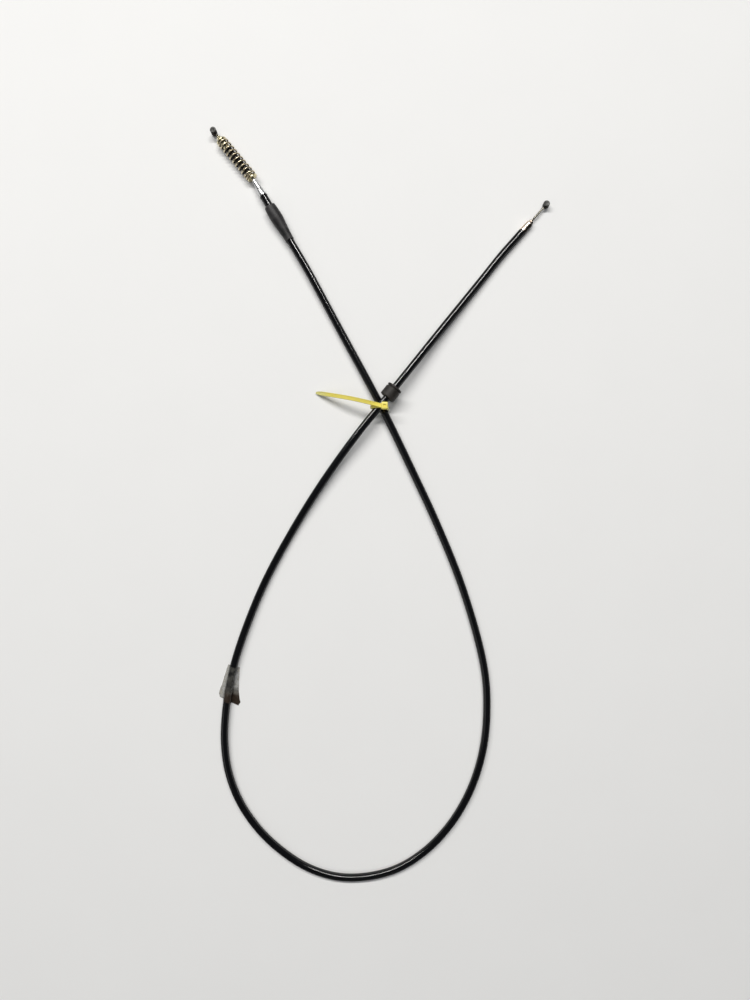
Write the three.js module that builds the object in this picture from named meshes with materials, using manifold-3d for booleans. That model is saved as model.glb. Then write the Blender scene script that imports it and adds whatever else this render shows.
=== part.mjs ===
// Rear brake cable lying in one loose loop on a flat floor, its two ends crossed and tied.
// Millimetres, +Z up, the floor at height 0. Headings are degrees anticlockwise from +X.
import * as THREE from "three";
import { mergeVertices } from "three/addons/utils/BufferGeometryUtils.js";
import Module from "manifold-3d";

const wasm = await Module();
wasm.setup();

const UP = new THREE.Vector3(0, 0, 1);
const TURNING_AXIS = new THREE.Vector3(0, 1, 0);

// Fits between neighbours
const CLEARANCE = 0.3;

// Casing, from the outside in
const CASING_DIAMETER = 6;
const JACKET_WALL = 0.45;
const ARMOUR_WALL = 0.5;
const LINER_WALL = 0.35;
const CASING_STEPS = 80;
const JACKET_SIDES = 12;
const CORE_SIDES = 8;
const TURNED_SIDES = 24;

// Inner wire and how far it is pulled
const WIRE_DIAMETER = 1.6;
const WIRE_TRAVEL = 18;
const WIRE_TAIL_GUIDED = 8;

// Brake arm end: where the casing stops, and which way casing and spring point
const ARM_CASING_END = [-96.8, 255.5];
const ARM_CASING_HEADING = -59.1;
const SPRING_HEADING = -50.1;

const CAP_FRONT = 1.2;
const CAP_DIAMETER = 6.8;
const CAP_EDGE = 0.25;
const BARE_CASING_AT_CAP = 8.6;

const NOSE_LENGTH = 16.1;
const NOSE_COLLAR_LENGTH = 5.6;
const NOSE_COLLAR_DIAMETER = 6;
const NOSE_GROOVE_DEPTH = 0.4;
const NOSE_GROOVE_WIDTH = 0.7;
const NOSE_CONE_DIAMETER = 5.2;
const NOSE_TIP_DIAMETER = 2.8;
const NOSE_SPIGOT_DIAMETER = 3.6;

const BOOT_LENGTH = 33.3;
const BOOT_MOUTH_DIAMETER = 9.4;
const BOOT_WAIST_DIAMETER = 10.5;
const BOOT_TAIL_DIAMETER = 7.5;
const BOOT_EDGE_RADIUS = 0.9;

// Return spring, its seats and the soft sleeve inside it
const SPRING_DIAMETER = 9.6;
const SPRING_WIRE_DIAMETER = 1.4;
const SPRING_LENGTH = 38.4;
const SPRING_OPEN_TURNS = 9;
const SPRING_CLOSED_TURNS = 0.75;
const SPRING_STEPS_PER_TURN = 14;
const SPRING_WIRE_SIDES = 8;
const SEAT_FLANGE = 1;
const INNER_HUB_LENGTH = 4;
const OUTER_HUB_LENGTH = 7;
const SEAT_NECK_LENGTH = 3.4;
const SEAT_NECK_DIAMETER = 3.4;
const SEAT_LIP_INSIDE_SPRING = 0.5;
const SEAT_TILT_GAP = 0.6;
const SLEEVE_DIAMETER = 5.6;
const BARE_WIRE_AT_NIPPLE = 3.6;

// Barrel nipples, with their axes upright
const ARM_NIPPLE_DIAMETER = 5;
const ARM_NIPPLE_HEIGHT = 7;
const LEVER_NIPPLE_DIAMETER = 5.2;
const LEVER_NIPPLE_HEIGHT = 5.6;
const NIPPLE_CHAMFER = 0.45;
const NIPPLE_HOLE_PAST_CENTRE = 0.6;
const WIRE_HOLE_SIDES = 12;

// Brake lever end
const LEVER_CASING_END = [118, 227.5];
const LEVER_HEADING = 48.5;
const FERRULE_LENGTH = 11.4;
const FERRULE_WALL = 0.42;
const FERRULE_TAPER = 2.6;
const FERRULE_MOUTH_DIAMETER = 4.2;
const FERRULE_END_WALL = 1.8;
const LEVER_BARE_WIRE = 16;

// Rubber ring on the upper leg
const GROMMET_DISTANCE = 1165.8;
const GROMMET_LENGTH = 11.2;
const GROMMET_DIAMETER = 13.2;
const GROMMET_EDGE = 0.5;
const GROMMET_GROOVE_FROM_END = 1.7;
const GROMMET_GROOVE_WIDTH = 0.9;
const GROMMET_GROOVE_DEPTH = 1;

// Cable tie round the crossing
const STRAP_WIDTH = 3.4;
const STRAP_THICKNESS = 1.1;
const CROSSING = [0, 82.3];
const TIE_AT_FLOOR = [0, 79.1];
const TIE_LEAN = 0.12;
const TIE_HEADING = -2;
const LOW_LEG_HEADING = -62.5;
const HIGH_LEG_HEADING = 50.5;
const TIE_HEAD_LENGTH = 5.3;
const TIE_HEAD_WIDTH = 5.8;
const TIE_HEAD_THICKNESS = 3.6;
const TIE_HEAD_OFFSET = 3;
const TIE_HEAD_EDGE = 0.5;
const TAIL_TURN = -11.5;
const TAIL_REACH = 55.5;
const TAIL_ARCH = 0.5;
const TAIL_TIP_LENGTH = 5;
const TAIL_TIP_WIDTH = 1.4;

// Clear tape folded over the left side of the loop
const TAPE_THICKNESS = 0.35;
const TAPE_SIDES = 16;
const TAPE_FROM = 868;
const TAPE_LENGTH = 33;
const TAPE_LEFT_REACH = 8;
const TAPE_RIGHT_REACH = 11;

// Heights of the casing's underside above the floor
const CASING_RADIUS = CASING_DIAMETER / 2;
const ARM_AXIS_HEIGHT = BOOT_WAIST_DIAMETER / 2;
const ARM_LIFT = ARM_AXIS_HEIGHT - CASING_RADIUS;
const LOW_LIFT = STRAP_THICKNESS + CLEARANCE;
const HIGH_LIFT = LOW_LIFT + CASING_DIAMETER + CLEARANCE;
const TAPE_LIFT = TAPE_THICKNESS + CLEARANCE;

// The casing's route between its straight ends: x, y and the lift of its underside
const ROUTE = [
  [-60.5, 194.5, 0.8 * ARM_LIFT],
  [-35.5, 148.5, 0.5 * LOW_LIFT],
  [0, 82.5, LOW_LIFT],
  [25.5, 30, 0.5 * LOW_LIFT],
  [47.5, -17.5, 0],
  [67, -66, 0],
  [82, -116, 0],
  [87.5, -145, 0],
  [88.5, -171, 0],
  [86.5, -197, 0],
  [80.5, -222.5, 0],
  [70.5, -246.5, 0],
  [56, -269, 0],
  [37, -288.5, 0],
  [15, -302.5, 0],
  [-9.5, -309.5, 0],
  [-35, -310, 0],
  [-59, -303, 0],
  [-81, -289.5, 0],
  [-101, -271, 0],
  [-117, -248, 0],
  [-126.5, -223.5, 0],
  [-130, -198.5, 0.4 * TAPE_LIFT],
  [-129, -172.5, TAPE_LIFT],
  [-125, -146.5, TAPE_LIFT],
  [-118.5, -121, TAPE_LIFT],
  [-99, -70, 0],
  [-74.5, -23.5, 0.02 * HIGH_LIFT],
  [-46.5, 21, 0.42 * HIGH_LIFT],
  [-16, 62.5, 0.94 * HIGH_LIFT],
  [0, 82, HIGH_LIFT],
  [18.5, 105, 0.94 * HIGH_LIFT],
  [51, 146, 0.42 * HIGH_LIFT],
  [84, 187, 0.02 * HIGH_LIFT],
];

class StationPath extends THREE.Curve {
  constructor(stations) {
    super();
    this.stations = stations;
  }

  getPoint(t, target = new THREE.Vector3()) {
    const place = t * (this.stations.length - 1);
    const before = Math.min(Math.floor(place), this.stations.length - 2);
    return target.copy(this.stations[before]).lerp(this.stations[before + 1], place - before);
  }

  getPointAt(u, target) {
    return this.getPoint(u, target);
  }

  getTangentAt(u, target = new THREE.Vector3()) {
    const last = this.stations.length - 1;
    const nearest = Math.round(u * last);
    const before = this.stations[Math.max(nearest - 1, 0)];
    const after = this.stations[Math.min(nearest + 1, last)];
    return target.subVectors(after, before).normalize();
  }
}

function heading(degrees) {
  const angle = THREE.MathUtils.degToRad(degrees);
  return new THREE.Vector3(Math.cos(angle), Math.sin(angle), 0);
}

function along(point, direction, distance) {
  return point.clone().addScaledVector(direction, distance);
}

const armDirection = heading(ARM_CASING_HEADING);
const leverDirection = heading(LEVER_HEADING);
const springDirection = heading(SPRING_HEADING);

// The casing's centreline as one list of stations, straight where a fitting or the wire needs it
function makeCentreline() {
  const armEnd = new THREE.Vector3(...ARM_CASING_END, ARM_AXIS_HEIGHT);
  const leverEnd = new THREE.Vector3(...LEVER_CASING_END, CASING_RADIUS);
  const bootEnd = BARE_CASING_AT_CAP + BOOT_LENGTH + CLEARANCE;
  const tailInCasing = WIRE_TRAVEL + WIRE_TAIL_GUIDED - FERRULE_LENGTH;
  const straightSpare = 10;
  const points = [
    armEnd,
    along(armEnd, armDirection, bootEnd),
    along(armEnd, armDirection, bootEnd + straightSpare),
    ...ROUTE.map(([x, y, lift]) => new THREE.Vector3(x, y, lift + CASING_RADIUS)),
    along(leverEnd, leverDirection, -tailInCasing - straightSpare),
    along(leverEnd, leverDirection, -tailInCasing),
    leverEnd,
  ];
  const curve = new THREE.CatmullRomCurve3(points, false, "centripetal");
  curve.arcLengthDivisions = points.length * 40;
  const stations = curve.getSpacedPoints(CASING_STEPS);
  return stations.map((station) => station.setZ(Math.max(station.z, CASING_RADIUS)));
}

const casingStations = makeCentreline();
const armCasingEnd = casingStations[0];
const leverCasingEnd = casingStations[casingStations.length - 1];
const stationDistances = casingStations.reduce(
  (list, station, i) => [...list, i ? list[i - 1] + station.distanceTo(casingStations[i - 1]) : 0],
  [],
);
const casingLength = stationDistances[stationDistances.length - 1];

// A point on the centreline, by its distance from the brake arm end of the casing
function centrelineAt(distance) {
  if (distance <= 0) return along(armCasingEnd, armDirection, distance);
  if (distance >= casingLength) return along(leverCasingEnd, leverDirection, distance - casingLength);
  const next = stationDistances.findIndex((end) => end > distance);
  const reached = stationDistances[next - 1];
  const share = (distance - reached) / (stationDistances[next] - reached);
  return casingStations[next - 1].clone().lerp(casingStations[next], share);
}

function stretch(from, to) {
  const spare = 0.5;
  const inner = casingStations.filter((_, i) => {
    return stationDistances[i] > from + spare && stationDistances[i] < to - spare;
  });
  return [centrelineAt(from), ...inner, centrelineAt(to)];
}

function ringPoints(radius, sides) {
  return Array.from({ length: sides }, (_, i) => {
    const angle = (2 * Math.PI * i) / sides;
    return new THREE.Vector2(radius * Math.cos(angle), radius * Math.sin(angle));
  });
}

function tubeSection(outerRadius, outerSides, boreRadius, boreSides) {
  const section = new THREE.Shape(ringPoints(outerRadius, outerSides));
  if (boreRadius) section.holes.push(new THREE.Path(ringPoints(boreRadius, boreSides)));
  return section;
}

function sweep(section, stations) {
  const path = new StationPath(stations);
  return new THREE.ExtrudeGeometry(section, { steps: stations.length - 1, extrudePath: path });
}

// A turned piece from radius and distance pairs that run round its section
function turned(profile, sides = TURNED_SIDES) {
  const points = profile.map(([radius, distance]) => new THREE.Vector2(radius, distance));
  return new THREE.LatheGeometry([...points, points[0]], sides);
}

function toManifold(geometry) {
  const bare = geometry.clone();
  bare.deleteAttribute("normal");
  bare.deleteAttribute("uv");
  const merged = mergeVertices(bare, 1e-4);
  return new wasm.Manifold(
    new wasm.Mesh({
      numProp: 3,
      vertProperties: new Float32Array(merged.attributes.position.array),
      triVerts: new Uint32Array(merged.index.array),
    }),
  );
}

function toGeometry(solid) {
  const mesh = solid.getMesh();
  const geometry = new THREE.BufferGeometry();
  geometry.setAttribute("position", new THREE.BufferAttribute(new Float32Array(mesh.vertProperties), 3));
  geometry.setIndex(new THREE.BufferAttribute(new Uint32Array(mesh.triVerts), 1));
  geometry.computeVertexNormals();
  return geometry;
}

function material(colour, roughness, metalness) {
  return new THREE.MeshStandardMaterial({ color: colour, roughness, metalness });
}

function piece(name, geometry, surface) {
  const mesh = new THREE.Mesh(geometry, surface);
  mesh.name = name;
  return mesh;
}

function turnedOnto(name, geometry, surface, origin, direction) {
  const mesh = piece(name, geometry, surface);
  mesh.position.copy(origin);
  mesh.quaternion.setFromUnitVectors(TURNING_AXIS, direction);
  return mesh;
}

const wireHoleRadius = WIRE_DIAMETER / 2 + CLEARANCE;
const jacketBoreRadius = CASING_RADIUS - JACKET_WALL;
const armourRadius = jacketBoreRadius - CLEARANCE;
const armourBoreRadius = armourRadius - ARMOUR_WALL;
const linerRadius = armourBoreRadius - CLEARANCE;
const linerBoreRadius = linerRadius - LINER_WALL;
const ferruleBareEnd = casingLength + FERRULE_LENGTH - FERRULE_END_WALL - CLEARANCE;

function makeCasingJacket() {
  const section = tubeSection(CASING_RADIUS, JACKET_SIDES, jacketBoreRadius, CORE_SIDES);
  return piece("casing_jacket", sweep(section, stretch(0, casingLength)), material(0x101012, 0.22, 0));
}

function makeCasingArmour() {
  const section = tubeSection(armourRadius, CORE_SIDES, armourBoreRadius, CORE_SIDES);
  return piece("casing_armour", sweep(section, stretch(0, ferruleBareEnd)), material(0x8c9096, 0.4, 1));
}

function makeCasingLiner() {
  const section = tubeSection(linerRadius, CORE_SIDES, linerBoreRadius, CORE_SIDES);
  return piece("casing_liner", sweep(section, stretch(0, ferruleBareEnd)), material(0xe4e2da, 0.5, 0));
}

// Places along the brake arm end, outwards from the casing
const noseBaseDistance = -CAP_FRONT - CLEARANCE;
const noseTipDistance = noseBaseDistance - NOSE_LENGTH;
const noseTip = centrelineAt(noseTipDistance);
const seatBack = SEAT_TILT_GAP;
const springInnerEnd = seatBack + SEAT_FLANGE + CLEARANCE;
const springOuterEnd = springInnerEnd + SPRING_LENGTH;
const outerSeatFlange = springOuterEnd + CLEARANCE;
const outerSeatFront = outerSeatFlange + SEAT_FLANGE + SEAT_NECK_LENGTH;
const armNippleCentre = outerSeatFront + BARE_WIRE_AT_NIPPLE + ARM_NIPPLE_DIAMETER / 2;

// A point on the spring's axis, by its distance out from the nose tip
function springAxisAt(distance) {
  return along(noseTip, springDirection, -distance);
}

const outwards = springDirection.clone().negate();
const leverWireTail = casingLength + FERRULE_LENGTH - WIRE_TRAVEL - WIRE_TAIL_GUIDED;
const leverNippleCentre = casingLength + FERRULE_LENGTH + LEVER_BARE_WIRE + LEVER_NIPPLE_DIAMETER / 2;
const wireSection = tubeSection(WIRE_DIAMETER / 2, CORE_SIDES);
const wireMaterial = material(0x8f8a7e, 0.35, 1);
const zincYellow = material(0xd8c878, 0.35, 1);
const nippleMaterial = material(0x8b8b88, 0.45, 1);

function makeInnerWire() {
  const stations = stretch(noseTipDistance + CLEARANCE, leverWireTail - CLEARANCE);
  return piece("inner_wire", sweep(wireSection, stations), wireMaterial);
}

function makeLeverEndWire() {
  const end = leverNippleCentre + NIPPLE_HOLE_PAST_CENTRE - CLEARANCE;
  const stations = [centrelineAt(leverWireTail), centrelineAt(end)];
  return piece("lever_end_wire", sweep(wireSection, stations), wireMaterial);
}

function makeArmEndWire() {
  const end = armNippleCentre + NIPPLE_HOLE_PAST_CENTRE - CLEARANCE;
  const stations = [springAxisAt(CLEARANCE), springAxisAt(end)];
  return piece("arm_end_wire", sweep(wireSection, stations), wireMaterial);
}

function makeArmEndCap() {
  const rim = CAP_DIAMETER / 2;
  const hole = NOSE_SPIGOT_DIAMETER / 2 + CLEARANCE;
  const profile = [
    [hole, -CAP_FRONT],
    [rim - CAP_EDGE, -CAP_FRONT],
    [rim, -CAP_FRONT + CAP_EDGE],
    [rim, -CLEARANCE],
    [hole, -CLEARANCE],
  ];
  return turnedOnto("arm_end_cap", turned(profile), material(0x0c0c0d, 0.25, 0), armCasingEnd, armDirection);
}

function makeArmEndNose() {
  const base = noseBaseDistance;
  const spigot = NOSE_SPIGOT_DIAMETER / 2;
  const collar = NOSE_COLLAR_DIAMETER / 2;
  const cone = NOSE_CONE_DIAMETER / 2;
  const grooveBack = base - NOSE_COLLAR_LENGTH;
  const grooveFront = grooveBack - NOSE_GROOVE_WIDTH;
  const profile = [
    [wireHoleRadius, noseTipDistance],
    [NOSE_TIP_DIAMETER / 2, noseTipDistance],
    [cone, grooveFront],
    [cone - NOSE_GROOVE_DEPTH, grooveFront],
    [cone - NOSE_GROOVE_DEPTH, grooveBack],
    [collar - NOSE_GROOVE_DEPTH, grooveBack],
    [collar, base - NOSE_GROOVE_DEPTH],
    [collar, base],
    [spigot, base],
    [spigot, -2 * CLEARANCE],
    [wireHoleRadius, -2 * CLEARANCE],
  ];
  return turnedOnto("arm_end_nose", turned(profile), material(0xd6d8da, 0.22, 1), armCasingEnd, armDirection);
}

function makeRubberBoot() {
  const bore = CASING_RADIUS + CLEARANCE;
  const front = BARE_CASING_AT_CAP + CLEARANCE;
  const back = front + BOOT_LENGTH;
  const mouth = BOOT_MOUTH_DIAMETER / 2;
  const waist = BOOT_WAIST_DIAMETER / 2;
  const tail = BOOT_TAIL_DIAMETER / 2;
  const waistAt = front + 0.36 * BOOT_LENGTH;
  const tailAt = front + 0.86 * BOOT_LENGTH;
  const tailEdge = (tail - bore) / 2;
  const profile = [
    [bore, front],
    [mouth - BOOT_EDGE_RADIUS, front],
    [mouth - 0.3 * BOOT_EDGE_RADIUS, front + 0.3 * BOOT_EDGE_RADIUS],
    [mouth, front + BOOT_EDGE_RADIUS],
    [(mouth + waist) / 2, (front + waistAt) / 2 - BOOT_EDGE_RADIUS],
    [waist, waistAt],
    [0.45 * waist + 0.55 * tail, (waistAt + tailAt) / 2],
    [tail, tailAt],
    [tail, back - tailEdge],
    [tail - tailEdge, back],
    [bore, back],
  ];
  return turnedOnto("rubber_boot", turned(profile), material(0x2b2a2b, 0.8, 0), armCasingEnd, armDirection);
}

// Both seats: a flange under the spring's end coil, and a hub that centres the coil
const springBoreRadius = SPRING_DIAMETER / 2 - SPRING_WIRE_DIAMETER;
const seatHubRadius = springBoreRadius - CLEARANCE;
const seatFlangeRadius = SPRING_DIAMETER / 2 - SEAT_LIP_INSIDE_SPRING;
const innerHubEnd = seatBack + SEAT_FLANGE + INNER_HUB_LENGTH;
const outerHubEnd = outerSeatFlange - OUTER_HUB_LENGTH;

function makeInnerSpringSeat() {
  const flange = seatBack + SEAT_FLANGE;
  const profile = [
    [wireHoleRadius, seatBack],
    [seatFlangeRadius, seatBack],
    [seatFlangeRadius, flange],
    [seatHubRadius, flange],
    [seatHubRadius - 2 * CLEARANCE, innerHubEnd],
    [wireHoleRadius, innerHubEnd],
  ];
  return turnedOnto("inner_spring_seat", turned(profile), zincYellow, noseTip, outwards);
}

function makeOuterSpringSeat() {
  const flange = outerSeatFlange + SEAT_FLANGE;
  const profile = [
    [wireHoleRadius, outerHubEnd],
    [seatHubRadius - 2 * CLEARANCE, outerHubEnd],
    [seatHubRadius, outerSeatFlange],
    [seatFlangeRadius, outerSeatFlange],
    [seatFlangeRadius, flange],
    [SEAT_NECK_DIAMETER / 2, outerSeatFront],
    [wireHoleRadius, outerSeatFront],
  ];
  return turnedOnto("outer_spring_seat", turned(profile), zincYellow, noseTip, outwards);
}

function makeDustSleeve() {
  const start = innerHubEnd + CLEARANCE;
  const end = outerHubEnd - CLEARANCE;
  const profile = [
    [wireHoleRadius, start],
    [SLEEVE_DIAMETER / 2, start],
    [SLEEVE_DIAMETER / 2, end],
    [wireHoleRadius, end],
  ];
  return turnedOnto("dust_sleeve", turned(profile), material(0x2a211a, 0.5, 0), noseTip, outwards);
}

// The coil closes up at each end, so the turns there are a wire's thickness apart
function makeReturnSpring() {
  const wireRadius = SPRING_WIRE_DIAMETER / 2;
  const coilRadius = SPRING_DIAMETER / 2 - wireRadius;
  const side = new THREE.Vector3().crossVectors(UP, outwards);
  const turns = SPRING_OPEN_TURNS + 2 * SPRING_CLOSED_TURNS;
  const closedRise = SPRING_CLOSED_TURNS * (SPRING_WIRE_DIAMETER + CLEARANCE);
  const openRise = SPRING_LENGTH - SPRING_WIRE_DIAMETER - 2 * closedRise;
  const steps = Math.round(turns * SPRING_STEPS_PER_TURN);
  const stations = Array.from({ length: steps + 1 }, (_, i) => {
    const turn = (i / steps) * turns;
    const open = THREE.MathUtils.clamp((turn - SPRING_CLOSED_TURNS) / SPRING_OPEN_TURNS, 0, 1);
    const closedBefore = Math.min(turn, SPRING_CLOSED_TURNS);
    const closed = closedBefore + Math.max(turn - SPRING_CLOSED_TURNS - SPRING_OPEN_TURNS, 0);
    const rise = wireRadius + open * openRise + (closed / SPRING_CLOSED_TURNS) * closedRise;
    return springAxisAt(springInnerEnd + rise)
      .addScaledVector(UP, coilRadius * Math.cos(2 * Math.PI * turn))
      .addScaledVector(side, coilRadius * Math.sin(2 * Math.PI * turn));
  });
  const section = tubeSection(wireRadius, SPRING_WIRE_SIDES);
  return piece("return_spring", sweep(section, stations), material(0xa98c4a, 0.3, 1));
}

// An upright barrel with a blind cross hole that the wire's end sits in
function makeNipple(name, diameter, height, centre, entering) {
  const radius = diameter / 2;
  const half = height / 2;
  const profile = [
    [0, -half],
    [radius - NIPPLE_CHAMFER, -half],
    [radius, -half + NIPPLE_CHAMFER],
    [radius, half - NIPPLE_CHAMFER],
    [radius - NIPPLE_CHAMFER, half],
    [0, half],
  ];
  const barrel = turned(profile).rotateX(Math.PI / 2);
  const holeFrom = entering.clone().multiplyScalar(-diameter);
  const holeTo = entering.clone().multiplyScalar(NIPPLE_HOLE_PAST_CENTRE);
  const hole = sweep(tubeSection(wireHoleRadius, WIRE_HOLE_SIDES), [holeFrom, holeTo]);
  const drilled = toGeometry(toManifold(barrel).subtract(toManifold(hole)));
  const mesh = piece(name, drilled, nippleMaterial);
  mesh.position.copy(centre);
  return mesh;
}

function makeLeverEndFerrule() {
  const bore = armourRadius + CLEARANCE;
  const outer = bore + FERRULE_WALL;
  const back = CLEARANCE;
  const endWall = FERRULE_LENGTH - FERRULE_END_WALL;
  const taper = FERRULE_LENGTH - FERRULE_TAPER;
  const profile = [
    [bore, back],
    [outer, back],
    [outer, taper],
    [FERRULE_MOUTH_DIAMETER / 2, FERRULE_LENGTH],
    [wireHoleRadius, FERRULE_LENGTH],
    [wireHoleRadius, endWall],
    [bore, endWall],
  ];
  const copper = material(0xc8935f, 0.28, 1);
  return turnedOnto("lever_end_ferrule", turned(profile), copper, leverCasingEnd, leverDirection);
}

function makeGuideGrommet() {
  const bore = CASING_RADIUS + CLEARANCE;
  const outer = GROMMET_DIAMETER / 2;
  const half = GROMMET_LENGTH / 2;
  const grooveEnd = half - GROMMET_GROOVE_FROM_END;
  const grooveStart = grooveEnd - GROMMET_GROOVE_WIDTH;
  const profile = [
    [bore, -half],
    [outer - GROMMET_EDGE, -half],
    [outer, -half + GROMMET_EDGE],
    [outer, grooveStart],
    [outer - GROMMET_GROOVE_DEPTH, grooveStart],
    [outer - GROMMET_GROOVE_DEPTH, grooveEnd],
    [outer, grooveEnd],
    [outer, half - GROMMET_EDGE],
    [outer - GROMMET_EDGE, half],
    [bore, half],
  ];
  const centre = centrelineAt(GROMMET_DISTANCE);
  const reach = GROMMET_LENGTH / 2;
  const direction = new THREE.Vector3()
    .subVectors(centrelineAt(GROMMET_DISTANCE + reach), centrelineAt(GROMMET_DISTANCE - reach))
    .normalize();
  return turnedOnto("guide_grommet", turned(profile), material(0x5d5853, 0.85, 0), centre, direction);
}

// An outline in the upright plane of the tie, made as thick as a width, turned and then leaned
function upright(outline, width, turn, lean) {
  const settings = { depth: width, bevelEnabled: false, curveSegments: 8 };
  const geometry = new THREE.ExtrudeGeometry(outline, settings);
  geometry.translate(0, 0, -width / 2);
  geometry.rotateX(Math.PI / 2);
  geometry.rotateZ(THREE.MathUtils.degToRad(turn));
  return geometry.applyMatrix4(new THREE.Matrix4().makeShear(0, 0, 0, 0, 0, lean));
}

// How far along the tie a leg of casing passes through it, at the leg's own height
function legPlace(legHeading, height) {
  const direction = heading(legHeading);
  return ((TIE_AT_FLOOR[1] + TIE_LEAN * height - CROSSING[1]) * direction.x) / direction.y;
}

// Half the room that a leg takes, as it slants through the strap's width and its lean
function halfWidthAcross(legHeading) {
  const direction = heading(legHeading);
  const rise = CASING_RADIUS + CLEARANCE;
  const slant = (STRAP_WIDTH / 2 + TIE_LEAN * rise) * Math.abs(direction.x);
  return (rise + slant) / Math.abs(direction.y);
}

function strapLoop() {
  const low = LOW_LIFT + CASING_RADIUS;
  const high = HIGH_LIFT + CASING_RADIUS;
  const rise = CASING_RADIUS + CLEARANCE;
  const highPlace = legPlace(HIGH_LEG_HEADING, high);
  const lowPlace = legPlace(LOW_LEG_HEADING, low);
  const ring = (PathType, grow) => {
    const path = new PathType();
    const highReach = halfWidthAcross(HIGH_LEG_HEADING) + grow;
    const lowReach = halfWidthAcross(LOW_LEG_HEADING) + grow;
    path.absellipse(highPlace, high, highReach, rise + grow, 0, Math.PI);
    path.absellipse(lowPlace, low, lowReach, rise + grow, Math.PI, 2 * Math.PI);
    return path;
  };
  const outline = ring(THREE.Shape, STRAP_THICKNESS);
  outline.holes.push(ring(THREE.Path, 0));
  return upright(outline, STRAP_WIDTH, 0, TIE_LEAN);
}

function tieHead() {
  const bottom = HIGH_LIFT + CASING_DIAMETER + CLEARANCE;
  const left = TIE_HEAD_OFFSET - TIE_HEAD_LENGTH / 2;
  const right = left + TIE_HEAD_LENGTH;
  const top = bottom + TIE_HEAD_THICKNESS;
  const outline = new THREE.Shape([
    new THREE.Vector2(left, bottom),
    new THREE.Vector2(right - TIE_HEAD_EDGE, bottom),
    new THREE.Vector2(right, bottom + TIE_HEAD_EDGE),
    new THREE.Vector2(right, top - TIE_HEAD_EDGE),
    new THREE.Vector2(right - TIE_HEAD_EDGE, top),
    new THREE.Vector2(left + TIE_HEAD_EDGE, top),
    new THREE.Vector2(left, top - TIE_HEAD_EDGE),
  ]);
  return upright(outline, TIE_HEAD_WIDTH, 0, TIE_LEAN);
}

// The loose end leaves the head to the left and droops to the floor, with a narrower tip
function tieTail() {
  const start = HIGH_LIFT + CASING_DIAMETER + CLEARANCE + TIE_HEAD_THICKNESS / 2;
  const spine = new THREE.SplineCurve([
    new THREE.Vector2(TIE_HEAD_OFFSET, start),
    new THREE.Vector2(-0.15 * TAIL_REACH, start + TAIL_ARCH),
    new THREE.Vector2(-0.43 * TAIL_REACH, 0.89 * start),
    new THREE.Vector2(-0.72 * TAIL_REACH, 0.53 * start),
    new THREE.Vector2(-TAIL_REACH, 0.65 * STRAP_THICKNESS),
  ]);
  const steps = 14;
  const half = STRAP_THICKNESS / 2;
  const edge = (side) =>
    spine.getSpacedPoints(steps).map((point, i) => {
      const tangent = spine.getTangentAt(i / steps);
      return new THREE.Vector2(point.x - side * half * tangent.y, point.y + side * half * tangent.x);
    });
  const strip = upright(new THREE.Shape([...edge(1), ...edge(-1).reverse()]), STRAP_WIDTH, TAIL_TURN, 0);
  const tipX = spine.points[spine.points.length - 1].x - STRAP_THICKNESS;
  const shoulderX = tipX + TAIL_TIP_LENGTH;
  const wide = STRAP_WIDTH;
  const narrow = TAIL_TIP_WIDTH / 2;
  const plan = new THREE.Shape([
    new THREE.Vector2(TIE_HEAD_OFFSET + STRAP_WIDTH, -wide),
    new THREE.Vector2(TIE_HEAD_OFFSET + STRAP_WIDTH, wide),
    new THREE.Vector2(shoulderX, wide),
    new THREE.Vector2(shoulderX, STRAP_WIDTH / 2),
    new THREE.Vector2(tipX, narrow),
    new THREE.Vector2(tipX, -narrow),
    new THREE.Vector2(shoulderX, -STRAP_WIDTH / 2),
    new THREE.Vector2(shoulderX, -wide),
  ]);
  const prism = new THREE.ExtrudeGeometry(plan, { depth: 2 * start, bevelEnabled: false });
  prism.rotateZ(THREE.MathUtils.degToRad(TAIL_TURN));
  return toManifold(strip).intersect(toManifold(prism)).translate([0, TIE_LEAN * start, 0]);
}

function makeCableTie() {
  const solid = toManifold(strapLoop()).add(toManifold(tieHead())).add(tieTail());
  const mesh = piece("cable_tie", toGeometry(solid), material(0xefe07a, 0.45, 0));
  mesh.position.set(...TIE_AT_FLOOR, 0);
  mesh.rotation.z = THREE.MathUtils.degToRad(TIE_HEADING);
  return mesh;
}

// The tape goes under the casing and over it, and its two faces meet as a flag on each side
function makeTapeFlag() {
  const centre = TAPE_LIFT + CASING_RADIUS;
  const inner = CASING_RADIUS + CLEARANCE;
  const outer = inner + TAPE_THICKNESS;
  const flag = 2 * TAPE_THICKNESS;
  const over = ringPoints(outer, TAPE_SIDES).filter((point) => point.y > -0.5 * outer);
  const ordered = over.sort((a, b) => Math.atan2(a.x, a.y) - Math.atan2(b.x, b.y));
  const outline = [
    [-TAPE_LEFT_REACH, 0],
    [-TAPE_LEFT_REACH, flag],
    ...ordered.map((point) => [point.x, point.y + centre]),
    [TAPE_RIGHT_REACH, flag],
    [TAPE_RIGHT_REACH, 0],
  ];
  // The swept section's own axes point down and to the left of the way along
  const turnedIn = ([right, height]) => new THREE.Vector2(centre - height, -right);
  const section = new THREE.Shape(outline.map(turnedIn));
  section.holes.push(new THREE.Path(ringPoints(inner, JACKET_SIDES)));
  const strip = sweep(section, stretch(TAPE_FROM, TAPE_FROM + TAPE_LENGTH));
  return piece("tape_flag", strip, material(0xb9ad98, 0.3, 0));
}

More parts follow.
